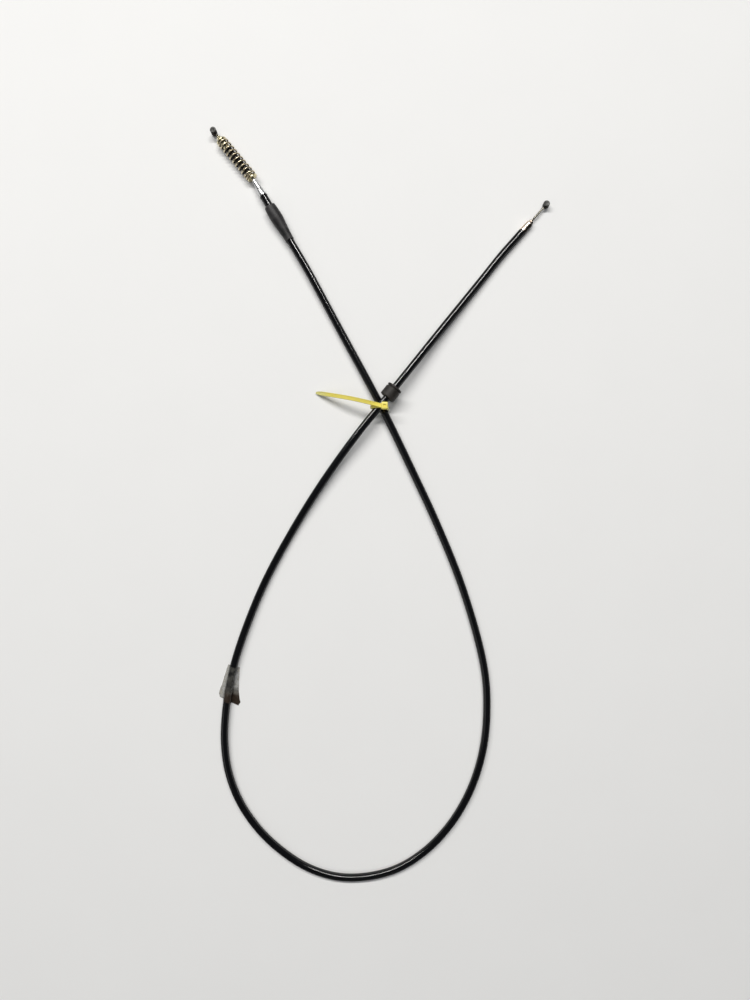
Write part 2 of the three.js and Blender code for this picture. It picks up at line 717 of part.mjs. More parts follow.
const cable = new THREE.Group();
cable.add(
  makeCasingJacket(),
  makeCasingArmour(),
  makeCasingLiner(),
  makeInnerWire(),
  makeLeverEndWire(),
  makeArmEndWire(),
  makeArmEndCap(),
  makeArmEndNose(),
  makeRubberBoot(),
  makeInnerSpringSeat(),
  makeOuterSpringSeat(),
  makeDustSleeve(),
  makeReturnSpring(),
  makeNipple(
    "arm_end_nipple",
    ARM_NIPPLE_DIAMETER,
    ARM_NIPPLE_HEIGHT,
    springAxisAt(armNippleCentre),
    outwards,
  ),
  makeNipple(
    "lever_end_nipple",
    LEVER_NIPPLE_DIAMETER,
    LEVER_NIPPLE_HEIGHT,
    centrelineAt(leverNippleCentre),
    leverDirection,
  ),
  makeLeverEndFerrule(),
  makeGuideGrommet(),
  makeCableTie(),
  makeTapeFlag(),
);

export default cable;
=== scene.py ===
# Rear brake cable in one loose tied loop: smooth pieces, finishes, floor, lamps and camera.
# Metres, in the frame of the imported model: +Z up, the floor at height 0.
import math

import bmesh
import bpy
import numpy as np
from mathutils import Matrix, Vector, noise


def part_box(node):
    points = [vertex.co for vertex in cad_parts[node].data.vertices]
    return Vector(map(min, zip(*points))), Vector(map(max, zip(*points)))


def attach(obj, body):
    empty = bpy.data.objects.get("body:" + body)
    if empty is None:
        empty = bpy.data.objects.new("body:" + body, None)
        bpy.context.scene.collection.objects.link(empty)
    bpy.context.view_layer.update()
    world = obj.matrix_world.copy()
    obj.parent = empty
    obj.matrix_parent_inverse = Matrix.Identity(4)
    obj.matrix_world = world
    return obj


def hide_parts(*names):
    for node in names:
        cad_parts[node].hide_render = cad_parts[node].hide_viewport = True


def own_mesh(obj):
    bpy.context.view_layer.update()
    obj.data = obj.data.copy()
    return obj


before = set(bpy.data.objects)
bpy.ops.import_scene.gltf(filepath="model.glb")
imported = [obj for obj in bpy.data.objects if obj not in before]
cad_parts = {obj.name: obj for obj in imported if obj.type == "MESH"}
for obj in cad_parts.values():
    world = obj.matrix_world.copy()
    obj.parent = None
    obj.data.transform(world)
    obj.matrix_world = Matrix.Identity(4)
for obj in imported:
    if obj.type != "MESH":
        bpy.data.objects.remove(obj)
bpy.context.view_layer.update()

UP = np.array((0.0, 0.0, 1.0))
CLEARANCE = 0.0003
SKIN_GAP = 0.00005

# Casing
CASING_RADIUS = 0.003
JACKET_BORE_RADIUS = 0.00255
CASING_SPACING = 0.0024
CASING_SIDES = 24

# Brake arm end
ARM_CASING_END = (-0.0968, 0.2555)
ARM_CASING_HEADING = -59.1
SPRING_HEADING = -50.1
CAP_FRONT = 0.0012
CAP_RADIUS = 0.0034
BARE_CASING_AT_CAP = 0.0086
NOSE_LENGTH = 0.0161
NOSE_COLLAR_LENGTH = 0.0056
NOSE_RADIUS = 0.003
NOSE_CONE_RADIUS = 0.0026
NOSE_TIP_RADIUS = 0.0014
BOOT_LENGTH = 0.0333
BOOT_MOUTH_RADIUS = 0.0047
BOOT_WAIST_RADIUS = 0.00525
BOOT_TAIL_RADIUS = 0.00375

# Return spring and seats, by distance out from the nose's tip
SEAT_BACK = 0.0006
SEAT_FLANGE = 0.001
SEAT_FLANGE_RADIUS = 0.0043
SEAT_HUB_RADIUS = 0.0031
SEAT_HUB_TAPER = 0.0006
INNER_HUB_LENGTH = 0.004
OUTER_HUB_LENGTH = 0.007
SLEEVE_RADIUS = 0.0028
SLEEVE_FOLDS = 9
SLEEVE_FOLD_DEPTH = 0.0003
SLEEVE_END_DROP = 0.0004
SEAT_NECK_LENGTH = 0.0034
SEAT_NECK_RADIUS = 0.0017
SPRING_LENGTH = 0.0384
SPRING_RADIUS = 0.0048
SPRING_WIRE_RADIUS = 0.0007
SPRING_OPEN_TURNS = 9
SPRING_CLOSED_TURNS = 0.75
SPRING_STEPS_PER_TURN = 34
SPRING_WIRE_SIDES = 16
BARE_WIRE_AT_NIPPLE = 0.0036

# Wire, nipples and brake lever end
WIRE_RADIUS = 0.0008
WIRE_HOLE_RADIUS = WIRE_RADIUS + CLEARANCE
WIRE_TRAVEL = 0.018
WIRE_TAIL_GUIDED = 0.008
WIRE_SPACING = 0.0006
WIRE_INTO_NIPPLE = 0.0002
STRANDS = 12
POINTS_PER_STRAND = 6
STRAND_LAY = 0.017
ARM_STRAND_SHIFT = 0.004
ARM_NIPPLE_RADIUS = 0.0025
LEVER_NIPPLE_RADIUS = 0.0026
NIPPLE_DIMPLE_DEPTH = 0.00015
NIPPLE_DIMPLE_POINT = 0.00001
LEVER_CASING_END = (0.118, 0.2275)
LEVER_HEADING = 48.5
FERRULE_LENGTH = 0.0114
FERRULE_RADIUS = 0.00297
FERRULE_MOUTH_RADIUS = 0.0021
FERRULE_BORE_RADIUS = 0.00255
FERRULE_NECK_LENGTH = 0.0026
FERRULE_MOUTH_LENGTH = 0.0018
FERRULE_CRIMPS = (0.0034, 0.0052)
FERRULE_CRIMP_DEPTH = 0.00022
LEVER_BARE_WIRE = 0.016

# Rubber ring, cable tie and tape
GROMMET_DISTANCE = 1.1658
GROMMET_LENGTH = 0.0112
GROMMET_RADIUS = 0.0066
GROMMET_GROOVE_DEPTH = 0.001
STRAP_WIDTH = 0.0034
STRAP_THICKNESS = 0.0011
STRAP_SPACING = 0.00025
STRAP_STEPS_PER_TOOTH = 4
STRAP_TOOTH_STEPS = (0.00012, 0.00034, 0.00034)
CROSSING = (0, 0.0823)
TIE_AT_FLOOR = (0, 0.0791)
TIE_LEAN = 0.12
TIE_HEADING = -2
LOW_LEG_HEADING = -62.5
HIGH_LEG_HEADING = 50.5
TIE_HEAD_LENGTH = 0.0053
TIE_HEAD_WIDTH = 0.0058
TIE_HEAD_THICKNESS = 0.0036
TIE_HEAD_OFFSET = 0.003
TIE_HEAD_ROUNDING = 0.16
TAIL_TURN = -11.5
TAIL_REACH = 0.0555
TAIL_TIP_LENGTH = 0.005
TAIL_TIP_SHARE = 0.36
TAPE_THICKNESS = 0.00035
TAPE_FROM = 0.868
TAPE_TO = 0.901
TAPE_SLANT = 0.33
TAPE_SPACING = 0.0005
TAPE_COLUMNS = 14
TAPE_FILM = 0.00016
TAPE_FLAG_THICKNESS = 0.00022
TAPE_FLAG_HEIGHT = 0.00002
TAPE_FLAG_OVERLAP = 0.001
TAPE_ARCH_FOOT = 0.0004

# The tie's head going up, and then down into its window: shares of its length and width, and height
TIE_HEAD_SECTIONS = (
    (0.82, 0.82, 0.0),
    (0.95, 0.95, 0.0002),
    (1.0, 1.0, 0.0006),
    (1.0, 1.0, TIE_HEAD_THICKNESS - 0.0006),
    (0.93, 0.93, TIE_HEAD_THICKNESS - 0.0002),
    (0.8, 0.8, TIE_HEAD_THICKNESS),
    (0.42, 0.36, TIE_HEAD_THICKNESS),
    (0.42, 0.36, TIE_HEAD_THICKNESS - 0.0012),
)

# How far the tape's flags reach from the casing's middle: shares of the tape's length, then reaches
TAPE_LEFT_REACH = (0, 0.1, 0.25, 0.45, 0.75, 1), (0.0068, 0.0079, 0.0078, 0.0068, 0.006, 0.0052)
TAPE_RIGHT_REACH = (0, 0.1, 0.3, 0.42, 0.8, 1), (0.0094, 0.0106, 0.0086, 0.0078, 0.0058, 0.0048)

# Studio
CAMERA_PLACE = (-0.0047, 0.0039, 0.63)
CAMERA_LENS = 27.09
FLOOR_REACH = 4.0
SKY_TINT = (0.85, 0.92, 1.0)
SKY_STRENGTH = 0.06

# Heights of the casing's underside above the floor
ARM_AXIS_HEIGHT = BOOT_WAIST_RADIUS
ARM_LIFT = ARM_AXIS_HEIGHT - CASING_RADIUS
LOW_LIFT = STRAP_THICKNESS + CLEARANCE
HIGH_LIFT = LOW_LIFT + 2 * CASING_RADIUS + CLEARANCE
TAPE_LIFT = TAPE_THICKNESS + CLEARANCE
STRAIGHT_SPARE = 0.01

# The casing's route between its straight ends: x, y and the lift of its underside
ROUTE = [
    (-0.0605, 0.1945, 0.8 * ARM_LIFT),
    (-0.0355, 0.1485, 0.5 * LOW_LIFT),
    (0.0, 0.0825, LOW_LIFT),
    (0.0255, 0.03, 0.5 * LOW_LIFT),
    (0.0475, -0.0175, 0),
    (0.067, -0.066, 0),
    (0.082, -0.116, 0),
    (0.0875, -0.145, 0),
    (0.0885, -0.171, 0),
    (0.0865, -0.197, 0),
    (0.0805, -0.2225, 0),
    (0.0705, -0.2465, 0),
    (0.056, -0.269, 0),
    (0.037, -0.2885, 0),
    (0.015, -0.3025, 0),
    (-0.0095, -0.3095, 0),
    (-0.035, -0.31, 0),
    (-0.059, -0.303, 0),
    (-0.081, -0.2895, 0),
    (-0.101, -0.271, 0),
    (-0.117, -0.248, 0),
    (-0.1265, -0.2235, 0),
    (-0.13, -0.1985, 0.4 * TAPE_LIFT),
    (-0.129, -0.1725, TAPE_LIFT),
    (-0.125, -0.1465, TAPE_LIFT),
    (-0.1185, -0.121, TAPE_LIFT),
    (-0.099, -0.07, 0),
    (-0.0745, -0.0235, 0.02 * HIGH_LIFT),
    (-0.0465, 0.021, 0.42 * HIGH_LIFT),
    (-0.016, 0.0625, 0.94 * HIGH_LIFT),
    (0.0, 0.082, HIGH_LIFT),
    (0.0185, 0.105, 0.94 * HIGH_LIFT),
    (0.051, 0.146, 0.42 * HIGH_LIFT),
    (0.084, 0.187, 0.02 * HIGH_LIFT),
]


def heading(degrees):
    angle = math.radians(degrees)
    return np.array((math.cos(angle), math.sin(angle), 0.0))


def smooth_curve(points, steps=40):
    """A dense centripetal curve through the points, straight on past both ends."""
    points = [2 * points[0] - points[1], *points, 2 * points[-1] - points[-2]]
    share = np.linspace(0, 1, steps, endpoint=False)[:, None]
    dense = []
    for before, start, end, after in zip(points, points[1:], points[2:], points[3:]):
        gap_in, gap, gap_out = (
            math.sqrt(np.linalg.norm(b - a)) for a, b in ((before, start), (start, end), (end, after))
        )
        step = end - start
        leave = (start - before) / gap_in - (end - before) / (gap_in + gap) + step / gap
        arrive = step / gap - (after - start) / (gap + gap_out) + (after - end) / gap_out
        leave, arrive = leave * gap, arrive * gap
        dense.append(
            start + leave * share + (3 * step - 2 * leave - arrive) * share**2
            + (leave + arrive - 2 * step) * share**3
        )
    return np.vstack([*dense, points[-2]])


class Centreline:
    """The casing's centreline, by distance from its brake arm end, straight past both ends."""

    def __init__(self, points):
        self.points = points
        steps = np.linalg.norm(np.diff(points, axis=0), axis=1)
        self.places = np.concatenate([[0], np.cumsum(steps)])
        self.length = self.places[-1]

    def at(self, distance):
        distance = np.asarray(distance, float)
        inside = np.stack([np.interp(distance, self.places, self.points[:, k]) for k in range(3)], axis=-1)
        before = np.minimum(distance, 0)[..., None] * heading(ARM_CASING_HEADING)
        after = np.maximum(distance - self.length, 0)[..., None] * heading(LEVER_HEADING)
        return inside + before + after

    def stretch(self, start, end, spacing):
        return self.at(np.linspace(start, end, max(2, round((end - start) / spacing) + 1)))


def make_centreline():
    arm_end = np.array((*ARM_CASING_END, ARM_AXIS_HEIGHT))
    lever_end = np.array((*LEVER_CASING_END, CASING_RADIUS))
    boot_end = BARE_CASING_AT_CAP + CLEARANCE + BOOT_LENGTH
    wire_tail = WIRE_TRAVEL + WIRE_TAIL_GUIDED - FERRULE_LENGTH
    points = [
        arm_end,
        arm_end + boot_end * heading(ARM_CASING_HEADING),
        arm_end + (boot_end + STRAIGHT_SPARE) * heading(ARM_CASING_HEADING),
        *(np.array((x, y, lift + CASING_RADIUS)) for x, y, lift in ROUTE),
        lever_end - (wire_tail + STRAIGHT_SPARE) * heading(LEVER_HEADING),
        lever_end - wire_tail * heading(LEVER_HEADING),
        lever_end,
    ]
    dense = smooth_curve(points)
    dense[:, 2] = np.maximum(dense[:, 2], CASING_RADIUS)
    return Centreline(dense)


centreline = make_centreline()
lever_end = centreline.length
nose_base = -CAP_FRONT - CLEARANCE
nose_tip = centreline.at(nose_base - NOSE_LENGTH)
outwards = -heading(SPRING_HEADING)
spring_inner_end = SEAT_BACK + SEAT_FLANGE + CLEARANCE
spring_outer_end = spring_inner_end + SPRING_LENGTH
outer_seat = spring_outer_end + CLEARANCE
outer_seat_front = outer_seat + SEAT_FLANGE + SEAT_NECK_LENGTH
inner_hub_end = SEAT_BACK + SEAT_FLANGE + INNER_HUB_LENGTH
outer_hub_end = outer_seat - OUTER_HUB_LENGTH
arm_nipple = nose_tip + (outer_seat_front + BARE_WIRE_AT_NIPPLE + ARM_NIPPLE_RADIUS) * outwards
lever_nipple = centreline.at(lever_end + FERRULE_LENGTH + LEVER_BARE_WIRE + LEVER_NIPPLE_RADIUS)


# Meshes

def frames(stations, side=None, closed=False):
    """At each station, the ways to the right and upwards across the run; side fixes the first."""
    if closed:
        along = np.roll(stations, -1, axis=0) - np.roll(stations, 1, axis=0)
    else:
        along = np.gradient(stations, axis=0)
    along = along / np.linalg.norm(along, axis=1)[:, None]
    right = np.cross(along, UP) if side is None else np.tile(side, (len(stations), 1))
    right = right / np.linalg.norm(right, axis=1)[:, None]
    return right, np.cross(right, along)


def rings_along(stations, sections, side=None, closed=False):
    """Rings of points: each section's (right, up) pairs carried to its station."""
    right, up = frames(stations, side, closed)
    sections = np.asarray(sections, float)
    if sections.ndim == 2:
        sections = np.tile(sections, (len(stations), 1, 1))
    return stations[:, None] + sections[..., :1] * right[:, None] + sections[..., 1:] * up[:, None]


def circle(radius, sides):
    angles = np.linspace(0, 2 * math.pi, sides, endpoint=False)
    return np.stack([radius * np.cos(angles), radius * np.sin(angles)], axis=-1)


def skin(name, rings, closed=False, sharp=38, marks=None):
    """A closed mesh over rings of points, with flat ends unless the last ring meets the first."""
    count, around = rings.shape[:2]
    faces = []
    for k in range(count if closed else count - 1):
        here, there = k * around, (k + 1) % count * around
        for i in range(around):
            j = (i + 1) % around
            faces.append((here + i, here + j, there + j, there + i))
    if not closed:
        faces.append(tuple(range(around)))
        faces.append(tuple(range((count - 1) * around, count * around)))
    mesh = bpy.data.meshes.new(name)
    mesh.from_pydata(rings.reshape(-1, 3).tolist(), [], faces)
    form = bmesh.new()
    form.from_mesh(mesh)
    bmesh.ops.recalc_face_normals(form, faces=form.faces)
    form.to_mesh(mesh)
    form.free()
    mesh.shade_smooth()
    mesh.set_sharp_from_angle(angle=math.radians(sharp))
    for mark, values in (marks or {}).items():
        attribute = mesh.attributes.new(mark, "FLOAT", "POINT")
        attribute.data.foreach_set("value", np.ascontiguousarray(values, np.float32).ravel())
    made = bpy.data.objects.new(name, mesh)
    bpy.context.scene.collection.objects.link(made)
    return made


def softened(profile, radius, steps=3):
    """A closed profile with each corner turned into a short arc."""
    corners = np.asarray(profile, float)
    rounded = []
    for before, corner, after in zip(np.roll(corners, 1, 0), corners, np.roll(corners, -1, 0)):
        reach_in = min(radius, 0.4 * np.linalg.norm(before - corner))
        reach_out = min(radius, 0.4 * np.linalg.norm(after - corner))
        start = corner + (before - corner) / np.linalg.norm(before - corner) * reach_in
        end = corner + (after - corner) / np.linalg.norm(after - corner) * reach_out
        for share in np.linspace(0, 1, steps + 1):
            rounded.append((1 - share) ** 2 * start + 2 * share * (1 - share) * corner + share**2 * end)
    return np.array(rounded)


def turned(name, profile, origin, direction, segments=56, edge=0.00012):
    """A turned piece: its closed (radius, distance) profile swung round the line from origin."""
    profile = softened(profile, edge)
    across = np.cross(direction, UP) if abs(direction[2]) < 0.9 else np.array((1.0, 0.0, 0.0))
    across = across / np.linalg.norm(across)
    other = np.cross(direction, across)
    spin = circle(1, segments)
    ways = spin[:, :1] * across + spin[:, 1:] * other
    rings = origin + profile[:, None, 1:] * direction + profile[:, None, :1] * ways
    along = np.repeat(profile[:, 1], segments)
    return skin(name, rings, closed=True, marks={"along": along})


def finish_piece(piece, body, surface, node=None):
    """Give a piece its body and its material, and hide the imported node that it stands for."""
    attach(piece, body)
    piece.data.materials.append(surface)
    if node:
        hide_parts(node)
    return piece


# Finishes

class Value:
    """A shader socket that can stand in a sum."""

    def __init__(self, finish, socket):
        self.finish = finish
        self.socket = socket

    def math(self, operation, first, second):
        return self.finish.node("ShaderNodeMath", {"operation": operation}, {0: first, 1: second})

    def __add__(self, other):
        return self.math("ADD", self, other)

    def __radd__(self, other):
        return self.math("ADD", other, self)

    def __sub__(self, other):
        return self.math("SUBTRACT", self, other)

    def __rsub__(self, other):
        return self.math("SUBTRACT", other, self)

    def __mul__(self, other):
        return self.math("MULTIPLY", self, other)

    def __rmul__(self, other):
        return self.math("MULTIPLY", other, self)

    def held(self):
        """The value kept between 0 and 1."""
        return self.finish.node("ShaderNodeClamp", {}, {"Value": self})


class Finish:
    """A material with one surface shader: fixed sockets by name, varying ones linked later."""

    def __init__(self, name, **fixed):
        self.material = bpy.data.materials.new(name)
        self.material.use_nodes = True
        self.tree = self.material.node_tree
        self.shader = self.tree.nodes["Principled BSDF"]
        for socket, value in fixed.items():
            self.shader.inputs[socket.replace("_", " ")].default_value = value
        self.place = self.node("ShaderNodeTexCoord", {}, {}, "Object")

    def node(self, kind, settings, inputs, output=0):
        """A node with its settings, its sockets' values or links, and one output as a value."""
        made = self.tree.nodes.new(kind)
        for key, value in settings.items():
            setattr(made, key, value)
        for key, value in inputs.items():
            if isinstance(value, Value):
                self.tree.links.new(value.socket, made.inputs[key])
            else:
                made.inputs[key].default_value = value
        return Value(self, made.outputs[output])

    def noise(self, per_metre, detail=4, roughness=0.55, place=None):
        inputs = {"Scale": per_metre, "Detail": detail, "Roughness": roughness, "Vector": place or self.place}
        return self.node("ShaderNodeTexNoise", {}, inputs, "Fac")

    def spots(self, per_metre):
        """Cell distance: small at scattered points, for pits and grains."""
        return self.node("ShaderNodeTexVoronoi", {}, {"Scale": per_metre, "Vector": self.place}, "Distance")

    def mark(self, name):
        """A value kept on the mesh's points."""
        return self.node("ShaderNodeAttribute", {"attribute_name": name}, {}, "Fac")

    def vector_math(self, operation, first, second, output):
        return self.node("ShaderNodeVectorMath", {"operation": operation}, {0: first, 1: second}, output)

    def scaled(self, x, y, z):
        """The place on the part, stretched or squeezed along each axis."""
        return self.vector_math("MULTIPLY", self.place, (x, y, z), "Vector")

    def towards(self, x, y, z):
        """How far the surface faces one way, from -1 to 1."""
        normal = self.node("ShaderNodeTexCoord", {}, {}, "Normal")
        return self.vector_math("DOT_PRODUCT", normal, (x, y, z), "Value")

    def between(self, value, low, high):
        """0 below low, 1 above high and smooth between."""
        settings = {"interpolation_type": "SMOOTHSTEP"}
        inputs = {"Value": value, "From Min": low, "From Max": high}
        return self.node("ShaderNodeMapRange", settings, inputs, "Result")

    def mix(self, share, first, second):
        inputs = {0: share, 6: colour(first), 7: colour(second)}
        return self.node("ShaderNodeMix", {"data_type": "RGBA"}, inputs, 2)

    def set(self, socket, value):
        self.tree.links.new(value.socket, self.shader.inputs[socket])

    def bump(self, height, distance, strength=1.0):
        inputs = {"Height": height, "Distance": distance, "Strength": strength}
        self.set("Normal", self.node("ShaderNodeBump", {}, inputs, "Normal"))


def colour(value):
    return value if isinstance(value, Value) else (*value, 1.0)


def vinyl_finish():
    """Black vinyl: a gloss that fades where it is seen aslant, rubbed patches, dust and scratches."""
    vinyl = Finish("black vinyl", Specular_IOR_Level=0.0, Coat_IOR=1.58, Coat_Roughness=0.13)
    rubbed = vinyl.between(vinyl.noise(22, 5), 0.48, 0.72)
    dust = vinyl.between(vinyl.noise(420, 6, 0.7), 0.58, 0.85)
    scratch = vinyl.between(vinyl.noise(900, 2, place=vinyl.scaled(1, 0.12, 1)), 0.66, 0.74)
    base = vinyl.mix(rubbed * 0.5, (0.0022, 0.0022, 0.0027), (0.006, 0.006, 0.007))
    base = vinyl.mix(dust * 0.05 + scratch * 0.04, base, (0.13, 0.127, 0.122))
    vinyl.set("Base Color", base)
    edge = vinyl.between(vinyl.node("ShaderNodeLayerWeight", {}, {"Blend": 0.5}, "Facing"), 0.38, 0.68)
    vinyl.set("Roughness", 0.5 + dust * 0.2)
    vinyl.set("Coat Weight", ((1 - edge) * (1 - rubbed * 0.25 - dust * 0.35 - scratch * 0.2)).held())
    vinyl.bump(vinyl.noise(200, 3) + scratch * -0.15, 0.00003, 0.5)
    return vinyl.material


def cap_finish():
    """Hard black plastic: glossy, with a light haze in patches."""
    cap = Finish("black cap", IOR=1.55)
    haze = cap.between(cap.noise(300, 5), 0.5, 0.75)
    cap.set("Base Color", cap.mix(haze * 0.4, (0.003, 0.003, 0.0035), (0.012, 0.012, 0.013)))
    cap.set("Roughness", 0.12 + haze * 0.18)
    cap.bump(cap.noise(1500, 3), 0.00002, 0.5)
    return cap.material


def plated_finish(name, bright, dull, gloss, haze, dirt_share=0.35, shaded_side=None):
    """Plated steel: bright metal with dull clouds, pits and dirt in them; if a side is given, that side is
    painted dark as shade.
    """
    plate = Finish(name, Metallic=1.0)
    cloud = plate.between(plate.noise(420, 5), 0.4, 0.68)
    pits = 1 - plate.between(plate.spots(2600), 0.1, 0.3)
    grime = plate.between(plate.noise(900, 6, 0.65), 0.56, 0.74)
    base = plate.mix(cloud, bright, dull)
    base = plate.mix((grime * dirt_share + pits * 0.3).held(), base, (0.06, 0.052, 0.042))
    if shaded_side:
        # Painted shade: surfaces facing the given side are darkened towards near black.
        painted_shade = plate.between(plate.towards(*shaded_side) + cloud * 0.15, -0.02, 0.35)
        base = plate.mix(painted_shade * 0.98, base, (0.013, 0.009, 0.006))
    plate.set("Base Color", base)
    plate.set("Roughness", (gloss + cloud * haze + grime * 0.2).held())
    plate.bump(plate.noise(5200, 3) - pits * 0.6, 0.00003, 0.6)
    return plate.material


def nose_finish():
    """Bright turned steel with fine tool rings and light handling marks."""
    nose = Finish("bright steel", Metallic=1.0)
    rings = nose.node("ShaderNodeMath", {"operation": "SINE"}, {0: nose.mark("along") * 26000.0})
    smear = nose.between(nose.noise(500, 5), 0.45, 0.75)
    nose.set("Base Color", nose.mix(smear * 0.6, (0.66, 0.67, 0.68), (0.45, 0.44, 0.42)))
    nose.set("Roughness", 0.3 + smear * 0.12)
    nose.bump(rings * 0.2 + nose.noise(1200, 2) * 0.4, 0.00001, 0.4)
    return nose.material


def spring_finish():
    """Golden plate on the outside of the coils; their inside is painted dark, as old grease and as the shade
    within the coil.
    """
    spring = Finish("spring plate", Metallic=0.9)
    cloud = spring.between(spring.noise(700, 5), 0.35, 0.7)
    # Painted shade: the side of the wire facing the spring's axis is darkened towards near black, for old
    # grease and for the shade inside the coil.
    darkening = spring.between(spring.mark("inside") + spring.noise(1300, 4) * 0.4, 0.32, 0.7)
    base = spring.mix(cloud, (0.8, 0.72, 0.54), (0.5, 0.4, 0.24))
    spring.set("Base Color", spring.mix(darkening * 0.97, base, (0.022, 0.015, 0.008)))
    spring.set("Roughness", (0.24 + cloud * 0.12 + darkening * 0.25).held())
    spring.bump(spring.noise(4200, 3), 0.00002, 0.5)
    return spring.material


def wire_finish(name, bright, darkening):
    """Steel strands with grease lying in the grooves between them."""
    wire = Finish(name, Metallic=1.0)
    groove = wire.between(wire.mark("groove") + wire.noise(1500, 3) * 0.25, 0.3, 0.95)
    wire.set("Base Color", wire.mix((groove * 0.9 + darkening).held(), bright, (0.03, 0.026, 0.02)))
    wire.set("Roughness", 0.24 + groove * 0.3)
    wire.bump(wire.noise(6000, 2), 0.00001, 0.4)
    return wire.material


def rubber_finish(name, dark, pale, dust_and_light_share, dust_and_light_colour, gloss):
    """Matt rubber: fine grain, worn paler clouds, and upward faces turned paler by settled dust and by
    painted light from above.
    """
    rubber = Finish(name, Specular_IOR_Level=0.35)
    cloud = rubber.between(rubber.noise(160, 5), 0.38, 0.7)
    grain = rubber.noise(5200, 4, 0.7)
    # Painted light and dust: faces turned upwards are mixed towards a pale colour.
    dust_and_top_light = rubber.between(rubber.towards(0, 0, 1), -0.1, 0.9)
    dust_and_top_light = dust_and_top_light * rubber.between(rubber.noise(520, 6, 0.7), 0.4, 0.8)
    base = rubber.mix(cloud, dark, pale)
    rubber.set("Base Color", rubber.mix((dust_and_top_light * dust_and_light_share).held(), base, dust_and_light_colour))
    rubber.set("Roughness", (gloss + dust_and_top_light * 0.15).held())
    rubber.bump(grain + cloud * 0.3, 0.00006, 0.7)
    return rubber.material


def nylon_finish():
    """Lemon nylon: slightly clouded, duller along the loose end, and painted greyer low on the strap as
    shade.
    """
    nylon = Finish(
        "lemon nylon", Subsurface_Weight=0.25, Subsurface_Radius=(0.9, 0.8, 0.3),
        Subsurface_Scale=0.0012, IOR=1.53,
    )
    cloud = nylon.between(nylon.noise(240, 4), 0.35, 0.75)
    grime = nylon.between(nylon.noise(900, 5, 0.65), 0.6, 0.8)
    height = nylon.node("ShaderNodeSeparateXYZ", {}, {0: nylon.place}, 2)
    base = nylon.mix(cloud, (0.8, 0.68, 0.11), (0.82, 0.72, 0.17))
    base = nylon.mix(nylon.between(nylon.mark("tip"), 0.0, 0.3) * 0.85, base, (0.6, 0.52, 0.085))
    base = nylon.mix(nylon.between(nylon.mark("tip"), 0.7, 1.0) * 0.8, base, (0.55, 0.53, 0.22))
    # Painted shade: the strap below about 12 mm is mixed towards grey green, as its shaded lower part.
    base = nylon.mix(1 - nylon.between(height, 0.004, 0.012) - nylon.mark("tip"), base, (0.5, 0.54, 0.4))
    nylon.set("Base Color", nylon.mix(grime * 0.18, base, (0.4, 0.34, 0.12)))
    nylon.set("Roughness", 0.3 + cloud * 0.12)
    nylon.bump(nylon.noise(1800, 3), 0.00003, 0.5)
    return nylon.material


def tape_finish():
    """Clear film: wrinkled and glossy, cloudy where air lies under it, brown where dirt is stuck."""
    tape = Finish("clear tape", IOR=1.47)
    cloud = tape.between(tape.noise(170, 5, 0.6), 0.38, 0.66)
    dirt = (tape.mark("dirt") * tape.between(tape.noise(420, 6, 0.7), 0.22, 0.42)).held()
    specks = tape.between(tape.noise(1700, 3), 0.63, 0.72) * 0.6
    over = tape.mark("over")
    base = tape.mix(cloud, (0.3, 0.3, 0.28), (0.5, 0.48, 0.42))
    base = tape.mix(over * 0.8, base, (0.1, 0.1, 0.09))
    base = tape.mix((dirt + specks).held(), base, (0.022, 0.013, 0.007))
    tape.set("Base Color", base)
    tape.set("Alpha", (0.16 + cloud * 0.26 - over * 0.1 + dirt * 0.85 + specks * 0.5).held())
    tape.set("Roughness", 0.07 + cloud * 0.12 + dirt * 0.35)
    tape.bump(tape.noise(380, 3) + dirt * 0.4, 0.0003, 0.7)
    return tape.material


def plain_metal_finish():
    """The hidden conduit and wire: dull, clouded steel."""
    steel = Finish("conduit steel", Metallic=1.0)
    cloud = steel.between(steel.noise(600, 4), 0.35, 0.7)
    steel.set("Base Color", steel.mix(cloud, (0.42, 0.43, 0.45), (0.24, 0.235, 0.225)))
    steel.set("Roughness", 0.35 + cloud * 0.2)
    steel.bump(steel.noise(3000, 3), 0.00003, 0.5)
    return steel.material


def liner_finish():
    """The hidden liner: milky slippery plastic."""
    liner = Finish("milky liner")
    cloud = liner.noise(500, 3)
    liner.set("Base Color", liner.mix(cloud, (0.8, 0.79, 0.74), (0.7, 0.68, 0.6)))
    liner.set("Roughness", 0.4 + cloud * 0.15)
    return liner.material


vinyl = vinyl_finish()
black_cap = cap_finish()
bright_steel = nose_finish()
yellow_zinc = plated_finish("yellow zinc", (0.82, 0.75, 0.5), (0.62, 0.5, 0.27), 0.26, 0.16, 0.45)
# The nipples' steel is painted with shade on its lower right side.
dull_steel = plated_finish(
    "dull nipple steel", (0.085, 0.085, 0.082), (0.04, 0.04, 0.039), 0.45, 0.16, shaded_side=(0.45, -0.65, -0.5)
)
# The ferrule's copper is painted with shade on its lower right side.
copper = plated_finish(
    "copper plate", (0.92, 0.82, 0.72), (0.78, 0.6, 0.46), 0.3, 0.14, 0.25, shaded_side=(0.62, -0.72, -0.1)
)
spring_plate = spring_finish()
